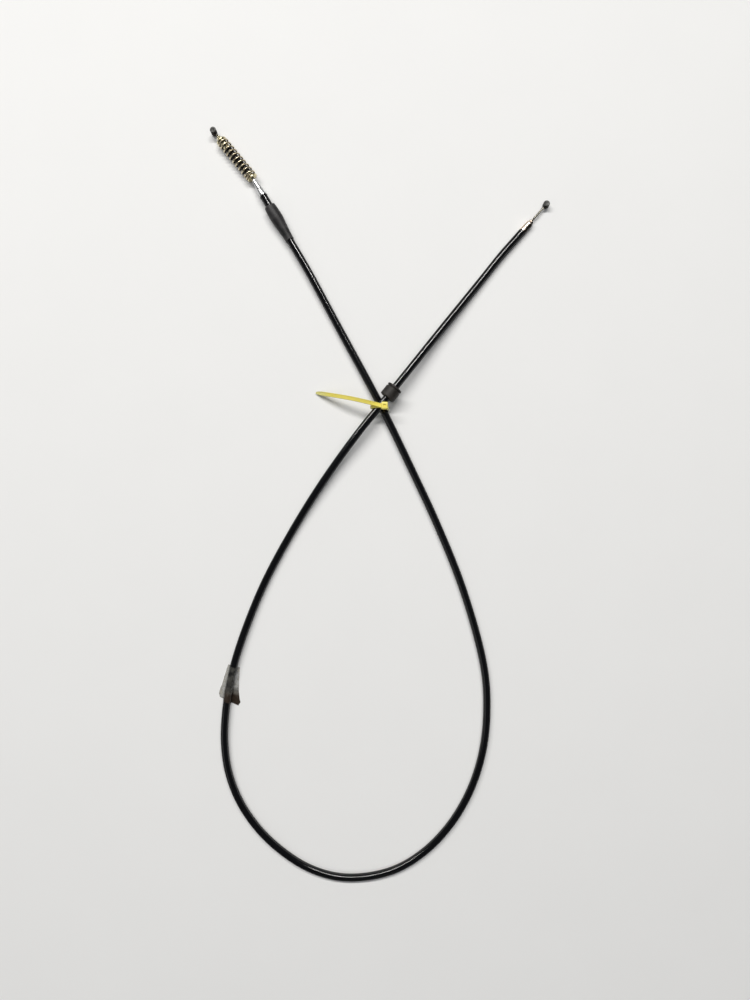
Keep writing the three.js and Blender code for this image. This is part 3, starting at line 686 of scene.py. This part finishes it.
# The sleeve's near-black rubber is partly its own colour and partly painted shade for the dark inside of the
# spring.
sleeve_rubber_and_shade = rubber_finish(
    "sleeve rubber and shade", (0.008, 0.006, 0.004), (0.022, 0.016, 0.009), 0.12, (0.08, 0.065, 0.04), 0.4
)
bare_strands = wire_finish("stranded wire", (0.4, 0.38, 0.32), 0.15)
greasy_strands = wire_finish("greasy stranded wire", (0.3, 0.28, 0.22), 0.45)
boot_rubber = rubber_finish(
    "boot rubber", (0.006, 0.0056, 0.006), (0.027, 0.025, 0.026), 0.07, (0.12, 0.117, 0.115), 0.48
)
grommet_rubber = rubber_finish(
    "grommet rubber", (0.009, 0.0075, 0.0065), (0.022, 0.019, 0.0165), 0.24, (0.11, 0.1, 0.09), 0.55
)
nylon = nylon_finish()
clear_tape = tape_finish()
conduit_steel = plain_metal_finish()
milky_liner = liner_finish()


# Pieces

def make_casing():
    """The jacket: one smooth tube with its bore, from the cap to the ferrule."""
    stations = centreline.stretch(0, lever_end, CASING_SPACING)
    outer = rings_along(stations, circle(CASING_RADIUS, CASING_SIDES))
    inner = rings_along(stations, circle(JACKET_BORE_RADIUS, CASING_SIDES))
    jacket = skin("casing", np.concatenate([outer, inner[::-1]]), closed=True)
    finish_piece(jacket, "casing", vinyl, "casing_jacket")
    return jacket, stations


def stranded(name, stations, node, body, surface, shift=0.0):
    """Twisted wire: a ring of strands whose lobes turn as they go along."""
    reach = WIRE_RADIUS / (1 + math.sin(math.pi / STRANDS))
    strand = reach * math.sin(math.pi / STRANDS)
    turn = np.linspace(0, 2 * math.pi, STRANDS * POINTS_PER_STRAND, endpoint=False)
    lobe = (turn * STRANDS / (2 * math.pi) + 0.5) % 1 - 0.5
    off = lobe * 2 * math.pi / STRANDS
    radius = reach * np.cos(off) + np.sqrt(np.maximum(strand**2 - (reach * np.sin(off)) ** 2, 0))
    travelled = np.concatenate([[0], np.cumsum(np.linalg.norm(np.diff(stations, axis=0), axis=1))])
    twist = (travelled + shift) / STRAND_LAY * 2 * math.pi
    angles = turn[None] + twist[:, None]
    sections = np.stack([radius * np.cos(angles), radius * np.sin(angles)], axis=-1)
    groove = np.tile(2 * np.abs(lobe), (len(stations), 1))
    wire = skin(name, rings_along(stations, sections), sharp=80, marks={"groove": groove})
    return finish_piece(wire, body, surface, node)


def make_wires():
    """The wire's two bare ends."""
    tail = lever_end + FERRULE_LENGTH - WIRE_TRAVEL - WIRE_TAIL_GUIDED
    lever_tip = lever_end + FERRULE_LENGTH + LEVER_BARE_WIRE + WIRE_INTO_NIPPLE
    stations = centreline.stretch(tail, lever_tip, WIRE_SPACING)
    stranded("lever_wire", stations, "lever_end_wire", "lever_slider", bare_strands)
    arm_tip = outer_seat_front + BARE_WIRE_AT_NIPPLE + WIRE_INTO_NIPPLE
    count = round(arm_tip / WIRE_SPACING)
    stations = nose_tip + np.linspace(CLEARANCE, arm_tip, count)[:, None] * outwards
    wire = stranded("arm_wire", stations, "arm_end_wire", "arm_slider", greasy_strands, ARM_STRAND_SHIFT)
    keep = 1 - WIRE_TRAVEL / (arm_tip - CLEARANCE)
    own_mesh(wire)


def make_nipple(name, radius, centre, entering, node, body):
    """A cast barrel on end: rounded rims, a shallow dimple each end, and solder round the wire."""
    low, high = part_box(node)
    half = (high.z - low.z) / 2
    dimple = 0.4 * radius
    profile = [
        (NIPPLE_DIMPLE_POINT, -half + NIPPLE_DIMPLE_DEPTH),
        (dimple, -half + NIPPLE_DIMPLE_DEPTH),
        (1.4 * dimple, -half),
        (radius, -half),
        (radius, half),
        (1.4 * dimple, half),
        (dimple, half - NIPPLE_DIMPLE_DEPTH),
        (NIPPLE_DIMPLE_POINT, half - NIPPLE_DIMPLE_DEPTH),
    ]
    barrel = turned(name, profile, centre, UP, edge=0.0004)
    finish_piece(barrel, body, dull_steel, node)
    solder = [
        (WIRE_RADIUS * 0.6, -radius - 0.0007),
        (WIRE_RADIUS * 1.05, -radius - 0.0007),
        (WIRE_RADIUS * 1.5, -radius - 0.0002),
        (WIRE_RADIUS * 2.1, -radius + 0.0005),
        (WIRE_RADIUS * 0.6, -radius + 0.0005),
    ]
    bead = turned(name + "_solder", solder, centre, entering, segments=32, edge=0.0002)
    finish_piece(bead, body, dull_steel)


def make_ferrule():
    """A drawn sleeve: rolled back edge, two shallow crimp rings, and a necked mouth."""
    back, length, radius = CLEARANCE, FERRULE_LENGTH, FERRULE_RADIUS
    neck = length - FERRULE_NECK_LENGTH
    crimped = radius - FERRULE_CRIMP_DEPTH
    profile = [
        (FERRULE_BORE_RADIUS, back),
        (radius - 0.00005, back),
        (radius, back + 0.0002),
    ]
    for ring in FERRULE_CRIMPS:
        profile += [(radius, ring), (crimped, ring + 0.0003)]
        profile += [(crimped, ring + 0.0008), (radius, ring + 0.0011)]
    profile += [
        (radius, neck),
        (radius - 0.0005, neck + 0.0007),
        (FERRULE_MOUTH_RADIUS, length - 0.0008),
        (FERRULE_MOUTH_RADIUS, length),
        (WIRE_HOLE_RADIUS, length),
        (WIRE_HOLE_RADIUS, length - FERRULE_MOUTH_LENGTH),
        (FERRULE_BORE_RADIUS, length - FERRULE_MOUTH_LENGTH),
    ]
    ferrule = turned("ferrule", profile, centreline.at(lever_end), heading(LEVER_HEADING), edge=0.0002)
    finish_piece(ferrule, "casing", copper, "lever_end_ferrule")
    return ferrule


def make_cap():
    """The end cap: a thin black ring with a rounded rim, seated on the casing's end."""
    hole = WIRE_HOLE_RADIUS + 0.001
    profile = [
        (hole, -CAP_FRONT),
        (CAP_RADIUS - 0.0002, -CAP_FRONT),
        (CAP_RADIUS, -CAP_FRONT + 0.0003),
        (CAP_RADIUS, -0.0002),
        (CASING_RADIUS, -SKIN_GAP),
        (hole, -SKIN_GAP),
    ]
    cap = turned("end_cap", profile, centreline.at(0), heading(ARM_CASING_HEADING), edge=0.00015)
    finish_piece(cap, "casing", black_cap, "arm_end_cap")
    return cap


def make_nose():
    """The wire guide: a collar, a groove and a long cone to a rounded tip."""
    base, tip = nose_base, nose_base - NOSE_LENGTH
    groove = base - NOSE_COLLAR_LENGTH
    profile = [
        (WIRE_HOLE_RADIUS, tip + 0.0004),
        (WIRE_HOLE_RADIUS + 0.0001, tip),
        (NOSE_TIP_RADIUS, tip),
        (NOSE_TIP_RADIUS + 0.0003, tip + 0.0012),
        (NOSE_CONE_RADIUS, groove - 0.0007),
        (NOSE_CONE_RADIUS - 0.0004, groove - 0.0005),
        (NOSE_CONE_RADIUS - 0.0004, groove),
        (NOSE_RADIUS - 0.0003, groove + 0.0001),
        (NOSE_RADIUS, base - 0.0008),
        (NOSE_RADIUS, base),
        (WIRE_HOLE_RADIUS, base),
    ]
    nose = turned("nose", profile, centreline.at(0), heading(ARM_CASING_HEADING), edge=0.0002)
    finish_piece(nose, "casing", bright_steel, "arm_end_nose")
    return nose


def make_boot():
    """The rubber boot: full at the front, long and slim at the back, with moulded end beads."""
    front = BARE_CASING_AT_CAP + CLEARANCE
    back = front + BOOT_LENGTH
    bore = CASING_RADIUS + SKIN_GAP
    shape = smooth_curve([np.array(point) for point in (
        (BOOT_MOUTH_RADIUS, front + 0.0009),
        (BOOT_MOUTH_RADIUS + 0.0003, front + 0.004),
        (BOOT_WAIST_RADIUS, front + 0.36 * BOOT_LENGTH),
        (0.45 * BOOT_WAIST_RADIUS + 0.55 * BOOT_TAIL_RADIUS, front + 0.62 * BOOT_LENGTH),
        (BOOT_TAIL_RADIUS, front + 0.86 * BOOT_LENGTH),
        (BOOT_TAIL_RADIUS - 0.0001, back - 0.0016),
    )], steps=7)
    shape[:, 0] = np.minimum(shape[:, 0], BOOT_WAIST_RADIUS)
    profile = [
        (bore, front),
        (BOOT_MOUTH_RADIUS - 0.0009, front),
        (BOOT_MOUTH_RADIUS - 0.0002, front + 0.0003),
        *shape,
        (BOOT_TAIL_RADIUS, back - 0.0012),
        (BOOT_TAIL_RADIUS, back - 0.0004),
        (bore + 0.0002, back),
        (bore, back),
    ]
    boot = turned("boot", profile, centreline.at(0), heading(ARM_CASING_HEADING), edge=0.0003)
    finish_piece(boot, "casing", boot_rubber, "rubber_boot")
    return boot


def make_seats():
    """Both spring seats: a pressed flange and a hub that centres the end coil."""
    flange = SEAT_BACK + SEAT_FLANGE
    inner = [
        (WIRE_HOLE_RADIUS, SEAT_BACK),
        (SEAT_FLANGE_RADIUS, SEAT_BACK),
        (SEAT_FLANGE_RADIUS, flange),
        (SEAT_HUB_RADIUS, flange),
        (SEAT_HUB_RADIUS - SEAT_HUB_TAPER, inner_hub_end),
        (WIRE_HOLE_RADIUS, inner_hub_end),
    ]
    seat = turned("inner_seat", inner, nose_tip, outwards, edge=0.0003)
    finish_piece(seat, "casing", yellow_zinc, "inner_spring_seat")
    outer = [
        (WIRE_HOLE_RADIUS, outer_hub_end),
        (SEAT_HUB_RADIUS - SEAT_HUB_TAPER, outer_hub_end),
        (SEAT_HUB_RADIUS, outer_seat),
        (SEAT_FLANGE_RADIUS, outer_seat),
        (SEAT_FLANGE_RADIUS, outer_seat + SEAT_FLANGE),
        (SEAT_NECK_RADIUS + 0.0011, outer_seat + SEAT_FLANGE + 0.0009),
        (SEAT_NECK_RADIUS, outer_seat_front - 0.0006),
        (SEAT_NECK_RADIUS, outer_seat_front),
        (WIRE_HOLE_RADIUS, outer_seat_front),
    ]
    seat = turned("outer_seat", outer, nose_tip, outwards, edge=0.0003)
    finish_piece(seat, "arm_slider", yellow_zinc, "outer_spring_seat")


def make_sleeve():
    """The soft sleeve between the seats' hubs."""
    start, end = inner_hub_end + CLEARANCE, outer_hub_end - CLEARANCE
    profile = [(WIRE_HOLE_RADIUS, start), (SLEEVE_RADIUS - SLEEVE_END_DROP, start)]
    for fold in range(SLEEVE_FOLDS):
        near, far, crease = (start + (end - start) * (fold + part) / SLEEVE_FOLDS for part in (0.2, 0.8, 1))
        profile += [(SLEEVE_RADIUS, near), (SLEEVE_RADIUS, far)]
        if fold < SLEEVE_FOLDS - 1:
            profile.append((SLEEVE_RADIUS - SLEEVE_FOLD_DEPTH, crease))
    profile += [(SLEEVE_RADIUS - SLEEVE_END_DROP, end), (WIRE_HOLE_RADIUS, end)]
    sleeve = turned("soft_sleeve", profile, nose_tip, outwards, segments=40, edge=0.0003)
    # Its near-black finish also paints the shade inside the spring.
    finish_piece(sleeve, "casing", sleeve_rubber_and_shade, "dust_sleeve")
    nose_tip + start * outwards
    1 - WIRE_TRAVEL / (end - start)
    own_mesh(sleeve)


def make_spring():
    """The return spring: a round wire coil with closed ends."""
    coil = SPRING_RADIUS - SPRING_WIRE_RADIUS
    turns = SPRING_OPEN_TURNS + 2 * SPRING_CLOSED_TURNS
    turn = np.linspace(0, turns, round(turns * SPRING_STEPS_PER_TURN))
    open_share = np.clip((turn - SPRING_CLOSED_TURNS) / SPRING_OPEN_TURNS, 0, 1)
    closed = np.minimum(turn, SPRING_CLOSED_TURNS)
    closed = closed + np.maximum(turn - SPRING_CLOSED_TURNS - SPRING_OPEN_TURNS, 0)
    closed_rise = SPRING_CLOSED_TURNS * (2 * SPRING_WIRE_RADIUS + CLEARANCE)
    open_rise = SPRING_LENGTH - 2 * SPRING_WIRE_RADIUS - 2 * closed_rise
    rise = spring_inner_end + SPRING_WIRE_RADIUS + open_share * open_rise
    rise = rise + closed / SPRING_CLOSED_TURNS * closed_rise
    side = np.cross(UP, outwards)
    angle = 2 * math.pi * turn[:, None]
    radial = np.cos(angle) * UP + np.sin(angle) * side
    stations = nose_tip + rise[:, None] * outwards + coil * radial
    section = circle(SPRING_WIRE_RADIUS, SPRING_WIRE_SIDES)
    rings = stations[:, None] + section[None, :, :1] * radial[:, None] + section[None, :, 1:] * outwards
    # The inside mark is 1 on the face of the wire towards the axis, where the finish paints shade.
    inside = np.tile(0.5 - 0.5 * section[:, 0] / SPRING_WIRE_RADIUS, (len(stations), 1))
    spring = skin("spring", rings, sharp=60, marks={"inside": inside})
    finish_piece(spring, "casing", spring_plate, "return_spring")
    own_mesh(spring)


def make_grommet():
    """The rubber ring: rounded rims, one deep groove near its outer end."""
    half, radius = GROMMET_LENGTH / 2, GROMMET_RADIUS
    bore = CASING_RADIUS + SKIN_GAP
    profile = [
        (bore, -half + 0.0006),
        (bore + 0.0008, -half),
        (radius - 0.0008, -half),
        (radius - 0.0002, -half + 0.0002),
        (radius, -half + 0.0008),
        (radius, half - 0.0028),
        (radius - 0.0003, half - 0.0026),
        (radius - GROMMET_GROOVE_DEPTH, half - 0.0025),
        (radius - GROMMET_GROOVE_DEPTH, half - 0.0018),
        (radius - 0.0002, half - 0.0017),
        (radius, half - 0.0014),
        (radius, half - 0.0005),
        (radius - 0.0005, half),
        (bore + 0.0008, half),
        (bore, half - 0.0006),
    ]
    start, end = centreline.at(GROMMET_DISTANCE - half), centreline.at(GROMMET_DISTANCE + half)
    direction = (end - start) / np.linalg.norm(end - start)
    ring = turned("grommet", profile, (start + end) / 2, direction, edge=0.0003)
    finish_piece(ring, "casing", grommet_rubber, "guide_grommet")
    return ring


def resampled(points, spacing, closed=False):
    """Points set evenly along the same line."""
    points = np.vstack([points, points[:1]]) if closed else points
    places = np.concatenate([[0], np.cumsum(np.linalg.norm(np.diff(points, axis=0), axis=1))])
    count = round(places[-1] / spacing) + 1
    wanted = np.linspace(0, places[-1], count)
    even = np.stack([np.interp(wanted, places, points[:, k]) for k in range(3)], axis=-1)
    return even[:-1] if closed else even


def in_tie(x, y, z):
    """A place given along, across and above the leaning tie, in the frame."""
    way = heading(TIE_HEADING)
    return np.array((*TIE_AT_FLOOR, 0.0)) + x * way + (y + TIE_LEAN * z) * np.cross(UP, way) + z * UP


def strap_sections(taper):
    """Strap cross-sections: rounded edges, two rails and a row of teeth on the inner side."""
    half, thick = STRAP_WIDTH / 2, STRAP_THICKNESS / 2
    sections = []
    for i, share in enumerate(taper):
        tooth = STRAP_TOOTH_STEPS[i * 3 // STRAP_STEPS_PER_TOOTH % 3]
        width = half * share
        rail = width * 0.66
        sections.append([
            (-width, -0.4 * thick), (-width + 0.0002, -thick),
            (-rail, -thick), (-rail + 0.0001, -thick + tooth),
            (rail - 0.0001, -thick + tooth), (rail, -thick),
            (width - 0.0002, -thick), (width, -0.4 * thick),
            (width, 0.4 * thick), (width - 0.0003, thick),
            (-width + 0.0003, thick), (-width, 0.4 * thick),
        ])
    return np.array(sections)


def place_across(leg_heading, height):
    """How far along the tie a leg of casing passes through it, and half the room that it takes."""
    way = heading(leg_heading)
    place = (TIE_AT_FLOOR[1] + TIE_LEAN * height - CROSSING[1]) * way[0] / way[1]
    rise = CASING_RADIUS + CLEARANCE
    slant = (STRAP_WIDTH / 2 + TIE_LEAN * rise) * abs(way[0])
    return place, (rise + slant) / abs(way[1])


def make_tie_loop():
    """The toothed strap round both legs of the casing."""
    rise = CASING_RADIUS + CLEARANCE
    middle = STRAP_THICKNESS / 2
    low, high = LOW_LIFT + CASING_RADIUS, HIGH_LIFT + CASING_RADIUS
    arc = np.linspace(0, math.pi, 60)
    place, reach = place_across(HIGH_LEG_HEADING, high)
    reach += middle
    outline = [in_tie(place + reach * math.cos(a), 0, high + (rise + middle) * math.sin(a)) for a in arc]
    place, reach = place_across(LOW_LEG_HEADING, low)
    reach += middle
    outline += [in_tie(place - reach * math.cos(a), 0, low - (rise + middle) * math.sin(a)) for a in arc]
    stations = resampled(np.array(outline), STRAP_SPACING, closed=True)
    whole_teeth = len(stations) // STRAP_STEPS_PER_TOOTH
    stations = stations[: whole_teeth * STRAP_STEPS_PER_TOOTH]
    across = in_tie(0, 1, 0) - in_tie(0, 0, 0)
    sections = strap_sections(np.ones(len(stations)))
    loop = skin("tie_loop", rings_along(stations, sections, side=across, closed=True), closed=True)
    loop.data.attributes.new("tip", "FLOAT", "POINT")
    return finish_piece(loop, "casing", nylon, "cable_tie")


def make_tie_head(bottom):
    """The head: a rounded block with its window sunk into the top."""
    square = [(-0.5, -0.5), (0.5, -0.5), (0.5, 0.5), (-0.5, 0.5)]
    corners = softened(square, TIE_HEAD_ROUNDING, steps=4)
    rings = []
    for lengthwise, sideways, height in TIE_HEAD_SECTIONS:
        length, width = TIE_HEAD_LENGTH, TIE_HEAD_WIDTH
        rings.append([
            in_tie(TIE_HEAD_OFFSET + u * length * lengthwise, v * width * sideways, bottom + height)
            for u, v in corners
        ])
    head = skin("tie_head", np.array(rings), sharp=50)
    head.data.attributes.new("tip", "FLOAT", "POINT")
    finish_piece(head, "casing", nylon)
    return head


def make_tie_tail(bottom):
    """The loose end: from the head down to the floor, with a narrowed tip."""
    start = bottom + TIE_HEAD_THICKNESS / 2
    way = heading(TIE_HEADING + TAIL_TURN)
    across = np.cross(UP, way)
    origin = in_tie(0, 0, start) - start * UP
    spine = smooth_curve([origin + x * way + y * across + z * UP for x, y, z in (
        (TIE_HEAD_OFFSET, 0, start),
        (-0.15 * TAIL_REACH, 0.0002, start + 0.0005),
        (-0.43 * TAIL_REACH, 0.0003, 0.89 * start),
        (-0.72 * TAIL_REACH, 0, 0.53 * start),
        (-TAIL_REACH, -0.0004, 0.65 * STRAP_THICKNESS),
    )])
    stations = resampled(spine, STRAP_SPACING)
    count = len(stations)
    ending = np.clip((count - 1 - np.arange(count)) * STRAP_SPACING / TAIL_TIP_LENGTH, 0, 1)
    sections = strap_sections(TAIL_TIP_SHARE + (1 - TAIL_TIP_SHARE) * np.sqrt(ending))
    tip = np.repeat(np.linspace(0, 1, count), sections.shape[1])
    tail = skin("tie_tail", rings_along(stations, sections, side=-across), marks={"tip": tip})
    finish_piece(tail, "casing", nylon)
    return tail


def make_tie():
    """The cable tie, with its head on top of the upper leg of the casing."""
    bottom = HIGH_LIFT + 2 * CASING_RADIUS + CLEARANCE
    return [make_tie_loop(), make_tie_head(bottom), make_tie_tail(bottom)]


def tape_sections(stations, left, right):
    """The folded tape's cross-sections: a flat flag on each side and an arch over the casing."""
    outer = CASING_RADIUS + SKIN_GAP + TAPE_FILM
    foot = outer + TAPE_ARCH_FOOT
    arch = [
        (outer * math.cos(a), outer * math.sin(a))
        for a in np.linspace(math.radians(200), math.radians(-20), 22)
    ]
    sections = []
    for station, left_reach, right_reach in zip(stations, left, right):
        low = TAPE_FLAG_HEIGHT - station[2]
        high = low + TAPE_FLAG_THICKNESS
        sections.append([
            *((-x, low) for x in np.linspace(TAPE_FLAG_OVERLAP, left_reach, TAPE_COLUMNS)),
            *((-x, high) for x in np.linspace(left_reach, foot, TAPE_COLUMNS)),
            *arch,
            *((x, high) for x in np.linspace(foot, right_reach, TAPE_COLUMNS)),
            *((x, low) for x in np.linspace(right_reach, -TAPE_FLAG_OVERLAP, TAPE_COLUMNS)),
        ])
    return np.array(sections)


def wrinkle(rings):
    """Raise folds in the upper faces of the tape's flags, and make all its edges uneven."""
    columns, around = TAPE_COLUMNS, rings.shape[1]
    for ring in rings:
        for k, point in enumerate(ring):
            wave = noise.noise(Vector(point) * 190) + 0.5 * noise.noise(Vector(point) * 520)
            lifted = 0.00042 * wave if point[2] > 0.0001 else 0.0
            if columns <= k < 2 * columns or around - 2 * columns <= k < around - columns:
                ring[k, 2] += max(lifted, -0.0001) + 0.0002 * max(wave, 0)
            ring[k, 0] += 0.00025 * noise.noise(Vector(point) * 330 + Vector((7, 0, 0)))


def make_tape():
    """Tape folded round the casing: its two faces meet in a ragged flag on each side."""
    stations = centreline.stretch(TAPE_FROM, TAPE_TO, TAPE_SPACING)
    share = np.linspace(0, 1, len(stations))
    left, right = np.interp(share, *TAPE_LEFT_REACH), np.interp(share, *TAPE_RIGHT_REACH)
    sections = tape_sections(stations, left, right)
    rings = rings_along(stations, sections)
    way = np.gradient(stations, axis=0)
    way = way / np.linalg.norm(way, axis=1)[:, None]
    slant = TAPE_SLANT * (right.max() - sections[..., 0]) * (1 - share)[:, None] ** 2
    rings = rings + slant[..., None] * way[:, None]
    wrinkle(rings)
    reach = np.linalg.norm(rings[..., :2] - stations[:, None, :2], axis=-1)
    side = np.einsum("nij,nj->ni", rings - stations[:, None], frames(stations)[0])
    low_end = np.clip(1.75 - share * 3.6, 0, 1)[:, None]
    dirt = low_end * np.clip((side + 0.0045) / 0.003, 0, 1) + 0.2 * np.clip(reach / 0.01, 0, 1)
    over = np.clip((0.0042 - np.abs(side)) / 0.0008, 0, 1)
    tape = skin("tape", rings, sharp=60, marks={"dirt": dirt, "over": over})
    finish_piece(tape, "casing", clear_tape, "tape_flag")
    return tape


def finish_hidden_nodes():
    """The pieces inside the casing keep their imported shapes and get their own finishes."""
    for node, surface in (
        ("casing_armour", conduit_steel), ("casing_liner", milky_liner), ("inner_wire", conduit_steel)
    ):
        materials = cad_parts[node].data.materials
        materials.clear()
        materials.append(surface)


# Studio

def make_camera():
    """Straight above the part, at the height from which the photo's perspective fits."""
    data = bpy.data.cameras.new("camera")
    data.lens = CAMERA_LENS
    camera = bpy.data.objects.new("camera", data)
    camera.location = CAMERA_PLACE
    bpy.context.scene.collection.objects.link(camera)
    bpy.context.scene.camera = camera


def make_floor():
    """A plain pale floor under the part."""
    reach = FLOOR_REACH
    mesh = bpy.data.meshes.new("floor")
    corners = [(-reach, -reach, 0), (reach, -reach, 0), (reach, reach, 0), (-reach, reach, 0)]
    mesh.from_pydata(corners, [], [(0, 1, 2, 3)])
    floor = bpy.data.objects.new("floor", mesh)
    bpy.context.scene.collection.objects.link(floor)
    pale = Finish("pale floor", Roughness=0.75, Specular_IOR_Level=0.2)
    pale.set("Base Color", pale.mix(pale.noise(14, 3), (0.74, 0.74, 0.735), (0.76, 0.76, 0.755)))
    mesh.materials.append(pale.material)


def make_lamp(name, place, aim, size, power, tint=(1, 1, 1), mirrored=True):
    """A rectangular lamp; its first size lies level, and mirrored says if gloss shows it."""
    data = bpy.data.lights.new(name, "AREA")
    data.shape = "RECTANGLE"
    data.size, data.size_y = size
    data.energy = power
    data.color = tint
    lamp = bpy.data.objects.new(name, data)
    lamp.location = place
    lamp.visible_glossy = mirrored
    lamp.rotation_euler = (Vector(aim) - Vector(place)).to_track_quat("-Z", "Y").to_euler()
    bpy.context.scene.collection.objects.link(lamp)


def make_world():
    """A faint cool light from all round."""
    world = bpy.data.worlds.new("studio")
    world.use_nodes = True
    background = world.node_tree.nodes["Background"]
    background.inputs["Color"].default_value = (*SKY_TINT, 1.0)
    background.inputs["Strength"].default_value = SKY_STRENGTH
    bpy.context.scene.world = world


make_camera()
make_floor()
make_world()
make_lamp("long ceiling lamp", (-0.65, 1.7, 2.5), (-0.65, 0, 0), (3.8, 0.12), 112, (1.0, 0.985, 0.96))
make_lamp("soft overhead", (0.1, -0.1, 2.4), (0.1, -0.1, 0), (3.0, 3.0), 19, mirrored=False)
make_lamp("pale left wall", (-2.6, -1.4, 2.0), (0, 0, 0), (1.4, 1.4), 4)

casing, casing_line = make_casing()
make_wires()
make_nipple("arm_nipple", ARM_NIPPLE_RADIUS, arm_nipple, outwards, "arm_end_nipple", "arm_slider")
make_nipple(
    "lever_nipple", LEVER_NIPPLE_RADIUS, lever_nipple, heading(LEVER_HEADING),
    "lever_end_nipple", "lever_slider",
)
on_casing = [make_ferrule(), make_cap(), make_nose(), make_boot(), make_grommet(), *make_tie(), make_tape()]
make_seats()
make_sleeve()
make_spring()
finish_hidden_nodes()

bpy.context.scene.view_settings.view_transform = "Standard"
